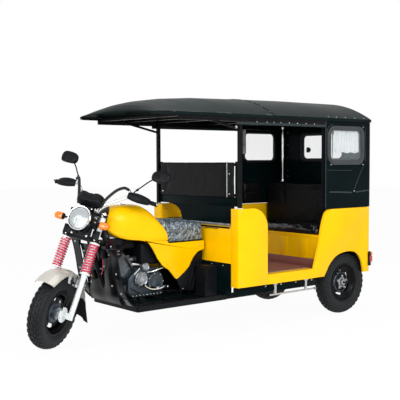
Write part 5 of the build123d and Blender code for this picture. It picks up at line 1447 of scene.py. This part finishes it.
curtain_left, left_width = curtain("curtain_left", 1.140, 1.495, wire_x, 0.0068, 0.010, 1)
curtain_right, right_width = curtain("curtain_right", 1.010, 1.068, 0.5365, 0.0120, 0.004, -1)
wires = Shape("curtain_wires", "body", [steel, plastic_black], None)
for sign in (-1, 1):
    wires.tube([(sign * wire_x, 1.005, curtain_top + 0.003), (sign * wire_x, 1.560, curtain_top + 0.003)],
               0.0022, steel, 8)
    for y in (1.010, 1.555):
        wires.tube([(sign * wire_x, y, curtain_top + 0.003), (sign * 0.5495, y, curtain_top + 0.003)],
                   0.0045, steel, 10)
    span = (1.140, 1.495) if sign > 0 else (1.012, 1.056)
    for k in range(8):
        y = span[0] + (span[1] - span[0]) * (k + 0.5) / 8
        ring = [(sign * wire_x + 0.0045 * math.cos(a), y, curtain_top + 0.001 + 0.0045 * math.sin(a))
                for a in turns_of(12)]
        wires.tube(ring, 0.0008, steel, 6, loop=True)
wires.tube([(-wire_x + 0.011 * math.cos(a), 1.034 + 0.024 * math.sin(a), 1.555) for a in turns_of(20)],
           0.0030, plastic_black, 8, loop=True)
wires.done()

# --- Cabin body --------------------------------------------------------------------------------------

panel_outside, panel_inside, panel_backing = 0.5710, 0.5510, 0.5508
rear_face, rear_inside = 1.6070, 1.5868

# Front lower boards, black, under and above the bulkhead
boards = Shape("front_boards", "body", [panel_black, steel, gloss_black], "black_gloss")
board_line = [(0.478, 0.889), (-0.2015, 0.889), (-0.2140, 0.922), (-0.2275, 0.9596), (-0.2594, 0.9894),
              (-0.3016, 1.0112), (-0.3517, 1.0235), (-0.4062, 1.0290), (-0.478, 1.0290), (-0.478, 1.106),
              (0.478, 1.106)]
boards.rings([[(x, y, z) for x, z in board_line] for y in (0.0125, 0.0175)], panel_black, smooth=False)
boards.box((-0.535, 0.0120, 1.0290), (0.535, 0.0180, 1.1050), 0.002, panel_black)
boards.box((-0.481, back(0.003), 0.296), (0.481, back(0.008), 0.5655), 0.002, panel_black)
for sign in (-1, 1):
    boards.box((sign * 0.490, 0.0125, 1.0900), (sign * 0.535, 0.0175, 1.3940), 0.002, panel_black)
    boards.box((sign * 0.500, -0.018, 0.298), (sign * 0.505, 0.940, 0.3715), 0.002, panel_black)
    boards.box((sign * 0.330, 0.560, 0.296), (sign * 0.492, 0.820, 0.3715), 0.006, gloss_black)
    for y in (0.340, 0.520, 0.700, 0.900):
        boards.bolt((sign * 0.505, y, 0.352), (sign, 0, 0), 0.0065, steel)
    for x in (0.10, 0.24, 0.38):
        boards.bolt((sign * x, back(0.003), 0.545), (0, -1, 0), 0.0055, steel, domed=True)
# Tray under the engine between the footboards, pressed with ribs
tray_low, tray_high = 0.2843, 0.2863
boards.box((-0.2135, back(-0.825), tray_low), (0.2135, back(0.110), tray_high), 0.0, panel_black, 1)
for k in range(6):
    x = -0.150 + 0.060 * k
    boards.box((x - 0.010, back(-0.790), tray_high - 0.0005), (x + 0.010, back(0.080), tray_high + 0.0035),
               0.003, panel_black)
boards.done(30)

# Wings with a rolled edge, a backing flange and their fixings
wings = Shape("wing_panels", "body", [yellow, steel], "yellow_paint", ["wings"])
wing_line = [Vector((0.006, 0.377)), Vector((0.329, 0.377)), Vector((0.329, 0.849))]
wing_line += [Vector((0.164 + 0.165 * math.cos(a), 0.849 + 0.165 * math.sin(a)))
              for a in (math.pi / 2 * k / 16 for k in range(1, 17))]
wing_line += [Vector((0.006, 1.014))]
for sign in (-1, 1):
    crowned_plate(wings, wing_line, panel_inside, panel_outside, sign, yellow, 0.004)
    wings.box((sign * 0.4820, back(0), 0.3772), (sign * 0.5704, 0.0040, 1.0138), 0.0022, yellow, 3)
    rim = [Vector((sign * 0.5530, back(p.x), p.y)) for p in inset_outline(wing_line, 0.004)][1:-1]
    wings.tube(rim, 0.0065, yellow, 10)
    # Pressed arch inside the panel's rounded corner
    arch = [(sign * panel_backing, back(0.150 + 0.118 * math.cos(a)), 0.845 + 0.118 * math.sin(a))
            for a in (math.pi / 2 * k / 14 for k in range(15))]
    wings.tube([(sign * panel_backing, back(0.268), 0.480)] + arch
               + [(sign * panel_backing, back(0.060), 0.963)], 0.0050, yellow, 8)
    for y, z in ((0.030, 0.990), (0.030, 0.420), (0.300, 0.420)):
        wings.bolt((sign * panel_outside, back(y), z), (sign, 0, 0), 0.0048, steel, domed=True)
    for z in (0.430, 0.700, 0.960):
        wings.bolt((sign * 0.5250, back(0), z), (0, -1, 0), 0.0048, steel, domed=True)
wings.done(30)

bulkhead = Shape("bulkhead_dress", "body", [gloss_black, steel, yellow, alloy], "black_gloss")
for sign in (-1, 1):
    # Slot drawn as a dark bead, painted shade inside the slot, and the bench's silver edge strip
    slot_painted_shade_path = [(sign * 0.150, -0.0262, 0.8440), (sign * 0.320, -0.0262, 0.8440)]
    bulkhead.tube(slot_painted_shade_path, 0.0036, gloss_black, 10)
    for x in (0.140, 0.330, 0.460):
        bulkhead.bolt((sign * x, back(0), 0.8440), (0, -1, 0), 0.0042, steel, domed=True)
bulkhead.box((-0.4660, -0.0085, 0.8680), (0.4660, 0.0110, 0.8895), 0.004, alloy, 3)
# Dark band under the edge strip: painted shade along the slot below the bench's edge
bulkhead.box((-0.4690, -0.0270, 0.8490), (0.4690, -0.0040, 0.8660), 0.003, gloss_black, 2)
bulkhead.box((-0.4810, -0.0275, 0.5675), (0.4810, back(0), 0.5800), 0.001, yellow, 1)
bulkhead.done(30)

quarters = Shape("quarter_panels", "body", [yellow, steel, plastic_black], "yellow_paint", ["quarters"])
arch_line = smooth_line([Vector((1.013, 0.377, 0)), Vector((1.045, 0.420, 0)), Vector((1.090, 0.484, 0)),
                         Vector((1.168, 0.545, 0)), Vector((1.246, 0.571, 0)), Vector((1.327, 0.580, 0)),
                         Vector((1.410, 0.573, 0)), Vector((1.472, 0.545, 0)), Vector((1.520, 0.490, 0)),
                         Vector((1.546, 0.420, 0)), Vector((1.554, 0.3695, 0))], 5)
arch_2d = [Vector((p.x, p.y)) for p in arch_line]
front_line = [Vector((0.886, 0.377)), Vector((0.886, 0.458)), Vector((0.949, 0.658)),
              Vector((0.980, 0.797)), Vector((1.000, 0.868)), Vector((1.017, 0.912)),
              Vector((1.034, 0.938)), Vector((1.058, 0.957)), Vector((1.085, 0.9665)),
              Vector((1.110, 0.970)), Vector((1.632, 0.970)), Vector((1.632, 0.3695))]
quarter_line = front_line + list(reversed(arch_2d))
for sign in (-1, 1):
    crowned_plate(quarters, quarter_line, panel_inside, panel_outside, sign, yellow, 0.0035)
    # Rolled lip round the arch, black liner behind it
    quarters.tube([(sign * 0.5690, back(p.x), p.y) for p in arch_2d], 0.0032, yellow, 8)
    rows = []
    for p in arch_2d:
        rows.append([Vector((sign * x, back(p.x), p.y + lift))
                     for x, lift in ((panel_backing, 0.004), (0.480, 0.012), (0.392, 0.018),
                                     (0.392, 0.021), (0.480, 0.015), (panel_backing, 0.007))])
    quarters.rings(rows, plastic_black)
    edge = [(sign * 0.5525, back(p.x + 0.004), p.y) for p in front_line[1:9]]
    quarters.tube(edge, 0.0060, yellow, 10)
    for y, z in ((1.600, 0.940), (1.600, 0.700), (1.600, 0.400), (1.130, 0.955), (0.905, 0.400)):
        quarters.bolt((sign * panel_outside, back(y), z), (sign, 0, 0), 0.0045, steel, domed=True)
quarters.done(30)

# Pressed creases, door post bead and rivets on the black upper body; the creases are a lighter black whose
# tone is painted sheen, their gloss real
upper = Shape("upper_creases", "body", [crease_black_painted_sheen, steel], "black_gloss")
for sign in (-1, 1):
    for line, radius in (
            (((1.075, 1.122), (1.240, 1.117), (1.380, 1.110)), 0.0075),
            (((1.425, 1.112), (1.530, 1.118), (1.622, 1.124)), 0.0075),
            (((1.552, 1.366), (1.480, 1.250), (1.414, 1.135)), 0.0045),
            (((1.050, 1.316), (1.230, 1.312), (1.385, 1.310)), 0.0028),
            (((1.030, 0.985), (1.030, 1.350), (1.030, 1.745)), 0.0055),
            (((1.626, 0.980), (1.627, 1.350), (1.626, 1.745)), 0.0055)):
        path = smooth_line([(sign * 0.5712, back(y), z) for y, z in line], 8)
        upper.tube(path, radius, crease_black_painted_sheen, 10)
    upper.bolt((sign * 0.5712, back(1.412), 1.122), (sign, 0, 0), 0.0060, steel, domed=True)
    for y in (0.175, 0.290, 0.365, 0.448, 0.548, 0.645, 0.750, 0.855):
        upper.bolt((sign * 0.5745, back(y + 0.025), 1.7150), (sign, 0, 0), 0.0048, steel, domed=True)
    # Column of rivets inside and outside the rear wall, and along its top
    for z in (1.746, 1.680, 1.558, 1.430, 1.300, 1.240, 1.120):
        upper.bolt((sign * 0.461, rear_inside, z), (0, -1, 0), 0.0046, steel, domed=True)
        upper.bolt((sign * 0.461, 1.6072, z), (0, 1, 0), 0.0046, steel, domed=True)
    for x in (0.10, 0.24, 0.38, 0.52):
        for z in (1.735, 0.990):
            upper.bolt((sign * x, 1.6072, z), (0, 1, 0), 0.0046, steel, domed=True)
# Header board along each side above the doorway, in the same lighter black with painted sheen
for sign in (-1, 1):
    upper.box((sign * 0.5705, back(-0.020), 1.6900), (sign * 0.5748, back(1.020), 1.7520), 0.0015,
              crease_black_painted_sheen, 1)
upper.done(30)

bead_x, line_x = 0.5735, 0.5725
seals = Shape("window_seals", "body", [frame_rubber, soft_rubber, steel], "soft_rubber", ["window_frames"])

for sign in (-1, 1):
    outer = rounded_rectangle((1.058, 1.361), (1.548, 1.7075), 0.082)
    inner = rounded_rectangle((1.097, 1.403), (1.509, 1.668), 0.045)
    frame_ring(seals, outer, inner, lambda p, h, s=sign: Vector((s * (0.5713 + h), back(p.x), p.y)))
    # Bead outside the frame's front edge and the long pressed line behind it
    bead = smooth_line(stations((sign * bead_x, 1.120, 1.7150), (sign * bead_x, 1.070, 1.6980),
                                (sign * bead_x, 1.050, 1.650), (sign * bead_x, 1.050, 1.480),
                                (sign * bead_x, 1.056, 1.400)), 6)
    seals.tube(bead, 0.0026, frame_rubber, 8)
    line = smooth_line(stations((sign * line_x, 1.520, 1.7220), (sign * line_x, 1.560, 1.690),
                                (sign * line_x, 1.571, 1.560), (sign * line_x, 1.571, 1.390)), 6)
    seals.tube(line, 0.0022, frame_rubber, 8)
    for y, z in ((1.092, 1.362), (1.525, 1.362), (1.525, 1.700)):
        seals.bolt((sign * 0.5780, back(y), z), (sign, 0, 0), 0.0052, steel, domed=True)
outer = rounded_rectangle((-0.292, 1.381), (0.292, 1.683), 0.055)
inner = rounded_rectangle((-0.252, 1.421), (0.252, 1.643), 0.040)
frame_ring(seals, outer, inner, lambda p, h: Vector((p.x, 1.6073 + h * 0.7, p.y)))
frame_ring(seals, rounded_rectangle((-0.285, 1.388), (0.285, 1.676), 0.052), inner,
           lambda p, h: Vector((p.x, rear_inside - h * 0.7, p.y)), soft_rubber)
for sign in (-1, 1):
    frame_ring(seals, rounded_rectangle((1.072, 1.378), (1.534, 1.693), 0.066),
               rounded_rectangle((1.099, 1.405), (1.507, 1.666), 0.043), lambda p, h,
               s=sign: Vector((s * (panel_backing - h * 0.6), back(p.x), p.y)), soft_rubber)
# Latch inside the rear window, right of its middle
latch = look((-0.167, 1.5895, 1.504), (0, -1, 0))
seals.lathe([(0.0001, 0.012), (0.014, 0.011), (0.019, 0.006), (0.020, 0.0), (0.0001, 0.0)], soft_rubber, 28,
            place=latch)
seals.box((-0.200, 1.5800, 1.478), (-0.160, 1.5890, 1.530), 0.005, soft_rubber)
seals.done(30)

# Roof: the seam's strip, a dark edge tube, a bead along the front eave, and rivets
roof_trim = Shape("roof_trim", "body", [roof_black, steel, gloss_black, wet_black], "black_gloss")
roof_eave, seam_y, roof_steps = 1.772, 0.393, 40
roof_rises = ((-0.795, 0.022), (-0.780, 0.040), (-0.745, 0.066), (-0.690, 0.088), (-0.600, 0.108),
              (-0.400, 0.134), (-0.100, 0.154), (0.393, 0.165), (0.900, 0.172), (1.620, 0.172),
              (1.652, 0.162))
roof_halves = ((-0.795, 0.505), (-0.780, 0.545), (-0.745, 0.572), (-0.690, 0.584), (-0.600, 0.588),
               (1.620, 0.588), (1.652, 0.572))


def roof_point(distance, across, lift=0.0):
    """A point on the roof's outer skin, lifted off it; across runs from -1 to 1."""
    half, rise = straight_value(roof_halves, distance), straight_value(roof_rises, distance)
    radius = (half**2 + rise**2) / (2 * rise)
    x = half * across
    middle = roof_eave + rise - radius
    height = middle + math.sqrt(radius**2 - x**2)
    normal = Vector((x, 0, height - middle)).normalized()
    return Vector((x, back(distance), height)) + normal * lift


roof_trim.tube([roof_point(seam_y, -0.995 + 1.99 * k / roof_steps, 0.0005) for k in range(roof_steps + 1)],
               0.0026, roof_black, 8)
for sign in (-1, 1):
    edge = [Vector((sign * straight_value(roof_halves, d), back(d), roof_eave - 0.021))
            for d in [-0.792 + 2.440 * k / 80 for k in range(81)]]
    roof_trim.tube([p + Vector((sign * -0.0043, 0, 0)) for p in edge], 0.0042, gloss_black, 8)
    # Bead along the front roof's eave, and the clip at the joint
    bead = [roof_point(-0.660 + 1.030 * k / 40, sign * 0.992, -0.0070) for k in range(41)]
    roof_trim.tube(bead, 0.0072, wet_black, 12)
    roof_trim.box((sign * 0.5735, back(seam_y - 0.024), 1.7545),
                  (sign * 0.5868, back(seam_y + 0.020), 1.7700), 0.002, steel)
    for k in range(26):
        d = -0.700 + 0.0900 * k
        roof_trim.bolt(roof_point(d, sign * 0.985), (sign * 0.45, 0, 1), 0.0036, gloss_black, domed=True)
    for d in (1.060, 1.165, 1.285, 1.415, 1.541):
        roof_trim.bolt(roof_point(d, sign * 0.975), (sign * 0.45, 0, 1), 0.0052, steel, domed=True)
for k in range(11):
    roof_trim.bolt(roof_point(seam_y, -0.9 + 0.18 * k), (0, 0, 1), 0.0040, steel, domed=True)
roof_trim.done(30)

# Canopy fittings: brace bolts, pillar feet, grab pole flanges, and the backrest's bolts and pale strip
fittings = Shape("canopy_fittings", "body", [steel, chrome, steel_black, white_paint], None)
for sign in (-1, 1):
    fittings.bolt((sign * 0.5610, back(-0.015), 1.669), (sign, 0, 0), 0.0095, steel)
    fittings.bolt((sign * 0.5560, back(-0.350), 1.742), (sign, 0, 0), 0.0075, steel)
    # Foot plate of the front pillar
    fittings.box((sign * 0.532, 0.0115 - 0.022, 1.0145), (sign * 0.5665, 0.0115 + 0.022, 1.0200), 0.0015,
                 white_paint)
    for dy in (-0.017, 0.017):
        fittings.bolt((sign * 0.549, 0.0115 + dy, 1.0200), (0, 0, 1), 0.0042, steel)
    # Grab pole flanges, and the plate under the roof that takes the upper one
    for z, along in ((1.1925, 1), (1.7300, -1)):
        fittings.lathe([(0.0092, 0.0), (0.026, 0.0), (0.026, 0.003), (0.0135, 0.006), (0.0125, 0.020),
                        (0.0092, 0.021)], chrome, 28, place=look((sign * 0.320, 1.371, z), (0, 0, along)))
    fittings.box((sign * 0.300, 1.345, 1.7300), (sign * 0.340, 1.397, 1.7360), 0.002, steel_black)
    for z in (1.132, 1.294):
        fittings.bolt((sign * 0.450, -0.0128, z), (0, -1, 0), 0.0075, steel, domed=True)
fittings.box((0.4180, -0.0150, 1.105), (0.4225, -0.0125, 1.385), 0.001, white_paint, 1)
fittings.done(35)

# Bench base: pressed folds, the lip under the cushion and the mat's turned-up edge
base = Shape("bench_base_dress", "body", [yellow, steel, floor_mat], "yellow_paint")
for x in (-0.36, -0.12, 0.12, 0.36):
    base.box((x - 0.052, 0.9434, 0.520), (x + 0.052, 0.9452, 0.700), 0.0014, yellow, 3)
base.box((-0.548, 0.9405, 0.7250), (0.548, 0.9450, 0.7440), 0.002, yellow)
base.box((-0.548, 0.9425, 0.4585), (0.548, 0.9450, 0.5300), 0.0015, floor_mat)
# Aluminium nosing along both doorway edges of the floor
for sign in (-1, 1):
    base.box((sign * 0.484, 0.312, 0.4582), (sign * 0.502, 0.852, 0.4612), 0.001, steel, 1)
    for k in range(6):
        base.bolt((sign * 0.493, 0.350 + 0.095 * k, 0.4612), (0, 0, 1), 0.0030, steel, domed=True)
base.done(30)

lights = Shape("tail_lamps", "body", [red_lens, plastic_black, amber, white_paint, steel], "red_lens",
               ["tail_lights"])
for sign in (-1, 1):
    lights.box((sign * 0.452, 1.6074, 0.420), (sign * 0.578, 1.6260, 0.556), 0.006, plastic_black, 3)
    for low, high, lens in ((0.4285, 0.4560, white_paint), (0.4575, 0.5130, red_lens),
                            (0.5145, 0.5475, amber)):
        lights.box((sign * 0.462, 1.6240, low), (sign * 0.5845, 1.6460, high), 0.006, lens, 4)
    for z in (0.4250, 0.5515):
        lights.bolt((sign * 0.515, 1.6262, z), (0, 1, 0), 0.0034, steel, domed=True)
    # Bracket that carries the lamp past the quarter panel's edge
    lights.box((sign * 0.5715, 1.5900, 0.426), (sign * 0.5825, 1.6240, 0.552), 0.003, plastic_black)
    lights.box((sign * 0.5780, 1.6050, 0.458), (sign * 0.5860, 1.6300, 0.513), 0.003, red_lens)
lights.done(30)

# Steps: the rods' end caps, and the plates that carry them
steps_piece = Shape("step_dress", "body", [steel, steel_black], None)
for sign in (-1, 1):
    for y in (0.325, 0.895):
        steps_piece.lathe([(0.0001, 0.0), (0.0105, 0.0005), (0.0105, 0.010), (0.0081, 0.011)], steel_black,
                          20, place=look((sign * 0.552, y - 0.001, 0.282), (0, 1 if y < 0.5 else -1, 0)))
    for y in (0.405, 0.775):
        steps_piece.box((sign * 0.5440, y - 0.022, 0.3630), (sign * 0.5600, y + 0.022, 0.3760), 0.002,
                        steel)
        for dy in (-0.015, 0.015):
            steps_piece.bolt((sign * 0.5600, y + dy, 0.3690), (sign, 0, 0), 0.0048, steel)
steps_piece.done(30)

# Rear: pressed frame, hinges, handle, reflectors and pressed lines
rear_dress = Shape("rear_dress", "body", [yellow, steel, red_lens, steel_black, panel_black, chrome], None)
for half_wide, low, high, radius in ((0.430, 0.612, 0.935, 0.0032), (0.405, 0.636, 0.911, 0.0022)):
    frame_line = rounded_rectangle((-half_wide, low), (half_wide, high), 0.030, 5)
    rear_dress.tube([(p.x, rear_face, p.y) for p in frame_line], radius, yellow, 8, loop=True)
rear_dress.tube([(-0.545, rear_face, 0.9700), (0.545, rear_face, 0.9700)], 0.0045, steel_black, 10)
for x in (-0.36, 0.36):
    rear_dress.tube([(x - 0.042, rear_face + 0.004, 0.972), (x + 0.042, rear_face + 0.004, 0.972)], 0.0062,
                    steel, 14)
    rear_dress.box((x - 0.040, rear_face - 0.001, 0.938), (x + 0.040, rear_face + 0.0025, 0.968), 0.001,
                   steel)
    for dx in (-0.026, 0.026):
        rear_dress.bolt((x + dx, rear_face + 0.0025, 0.950), (0, 1, 0), 0.0042, chrome, domed=True)
handle_z = 0.905
handle = smooth_line([(-0.060, rear_face, handle_z), (-0.058, rear_face + 0.022, handle_z),
                      (-0.030, rear_face + 0.027, handle_z), (0.030, rear_face + 0.027, handle_z),
                      (0.058, rear_face + 0.022, handle_z), (0.060, rear_face, handle_z)], 6)
rear_dress.tube(handle, 0.0055, chrome, 12)
rear_dress.lathe([(0.0001, 0.008), (0.009, 0.007), (0.012, 0.003), (0.012, 0.0)], chrome, 24,
                 place=look((0.0, rear_face, 0.862), (0, 1, 0)))
for sign in (-1, 1):
    spot = look((sign * 0.350, rear_face, 0.520), (0, 1, 0))
    rear_dress.lathe([(0.0001, 0.0085), (0.020, 0.0075), (0.0265, 0.0040), (0.0265, 0.0)], red_lens, 36,
                     place=spot)
    rear_dress.lathe([(0.0260, 0.0), (0.0300, 0.0), (0.0300, 0.0055), (0.0265, 0.0065)], chrome, 36,
                     place=spot)
    for x, z in ((0.520, 0.950), (0.520, 0.700), (0.300, 0.590), (0.080, 0.590)):
        rear_dress.bolt((sign * x, rear_face, z), (0, 1, 0), 0.0046, steel, domed=True)
    # Long pressed lines on the black upper panel, outside the rivets
    for x in (0.400, 0.505):
        rear_dress.tube([(sign * x, rear_face - 0.0005, 1.030), (sign * x, rear_face - 0.0005, 1.690)],
                        0.0028, panel_black, 8)
rear_dress.tube([(-0.400, rear_face - 0.0005, 1.200), (0.400, rear_face - 0.0005, 1.200)], 0.0028,
                panel_black, 8)
rear_dress.done(30)

# --- Floor, light and camera -------------------------------------------------------------------------


def show_white(tree, shader_output, share):
    """Mixes in plain white where the camera, a mirror or glass sees the surface."""
    path = tree.nodes.new("ShaderNodeLightPath")
    seen = path.outputs["Is Camera Ray"]
    for ray in ("Is Transmission Ray", "Is Glossy Ray"):
        wider = tree.nodes.new("ShaderNodeMath")
        wider.operation = "MAXIMUM"
        tree.links.new(seen, wider.inputs[0])
        tree.links.new(path.outputs[ray], wider.inputs[1])
        seen = wider.outputs[0]
    part = tree.nodes.new("ShaderNodeMath")
    part.operation = "MULTIPLY"
    part.inputs[1].default_value = share
    tree.links.new(seen, part.inputs[0])
    white = tree.nodes.new("ShaderNodeEmission")
    mix = tree.nodes.new("ShaderNodeMixShader")
    tree.links.new(part.outputs[0], mix.inputs["Fac"])
    tree.links.new(shader_output, mix.inputs[1])
    tree.links.new(white.outputs[0], mix.inputs[2])
    return mix.outputs[0]


floor_size = 60
bpy.ops.mesh.primitive_plane_add(size=floor_size, location=(0, 0, 0))
floor = bpy.context.object
floor.name = "ground"
paper = bpy.data.materials.new("pale_floor")
paper.use_nodes = True
paper_shader = paper.node_tree.nodes["Principled BSDF"]
paper_shader.inputs["Base Color"].default_value = (0.9, 0.9, 0.9, 1)
paper_shader.inputs["Roughness"].default_value = 0.9
paper_shader.inputs["Specular IOR Level"].default_value = 0.1
paper_out = paper.node_tree.nodes["Material Output"]
paper.node_tree.links.new(show_white(paper.node_tree, paper_shader.outputs[0], 0.96),
                          paper_out.inputs["Surface"])
floor.data.materials.append(paper)

world = bpy.data.worlds.new("studio")
bpy.context.scene.world = world
world.use_nodes = True
sky = world.node_tree.nodes["Background"]
sky.inputs["Color"].default_value = (0.94, 0.97, 1.0, 1)
sky.inputs["Strength"].default_value = 0.55
world_out = world.node_tree.nodes["World Output"]
world.node_tree.links.new(show_white(world.node_tree, sky.outputs[0], 1.0), world_out.inputs["Surface"])


def soft_lamp(name, place, target, size, power):
    """A large area lamp that points at a target."""
    lamp = bpy.data.lights.new(name, "AREA")
    lamp.shape = "RECTANGLE"
    lamp.size, lamp.size_y = size
    lamp.energy = power
    made = bpy.data.objects.new(name, lamp)
    bpy.context.scene.collection.objects.link(made)
    made.location = place
    made.rotation_mode = "QUATERNION"
    made.rotation_quaternion = (Vector(target) - Vector(place)).to_track_quat("-Z", "Y")
    made.visible_camera = False


soft_lamp("key_lamp", (6.6, -1.9, 3.5), (0, 0, 0.8), (4.0, 2.5), 315)
soft_lamp("front_lamp", (1.5, -7.0, 3.2), (0, -0.5, 0.8), (3.5, 2.5), 185)
soft_lamp("top_lamp", (0.5, 0.5, 6.0), (0, 0, 1.0), (4.0, 4.0), 90)

camera_data = bpy.data.cameras.new("camera")
camera = bpy.data.objects.new("camera", camera_data)
bpy.context.scene.collection.objects.link(camera)
bpy.context.scene.camera = camera
camera_data.sensor_width = 36.0
focal_pixels, frame_pixels = 794.59, 400
camera_data.lens = camera_data.sensor_width * focal_pixels / frame_pixels
camera_tilt, camera_roll, camera_heading = (math.radians(angle) for angle in (87.09704, 0.16905, 50.75537))
camera.location = (5.27668, -4.26189, 1.41003)
camera.rotation_euler = (camera_tilt, camera_roll, camera_heading)

bpy.context.scene.view_settings.view_transform = "Standard"
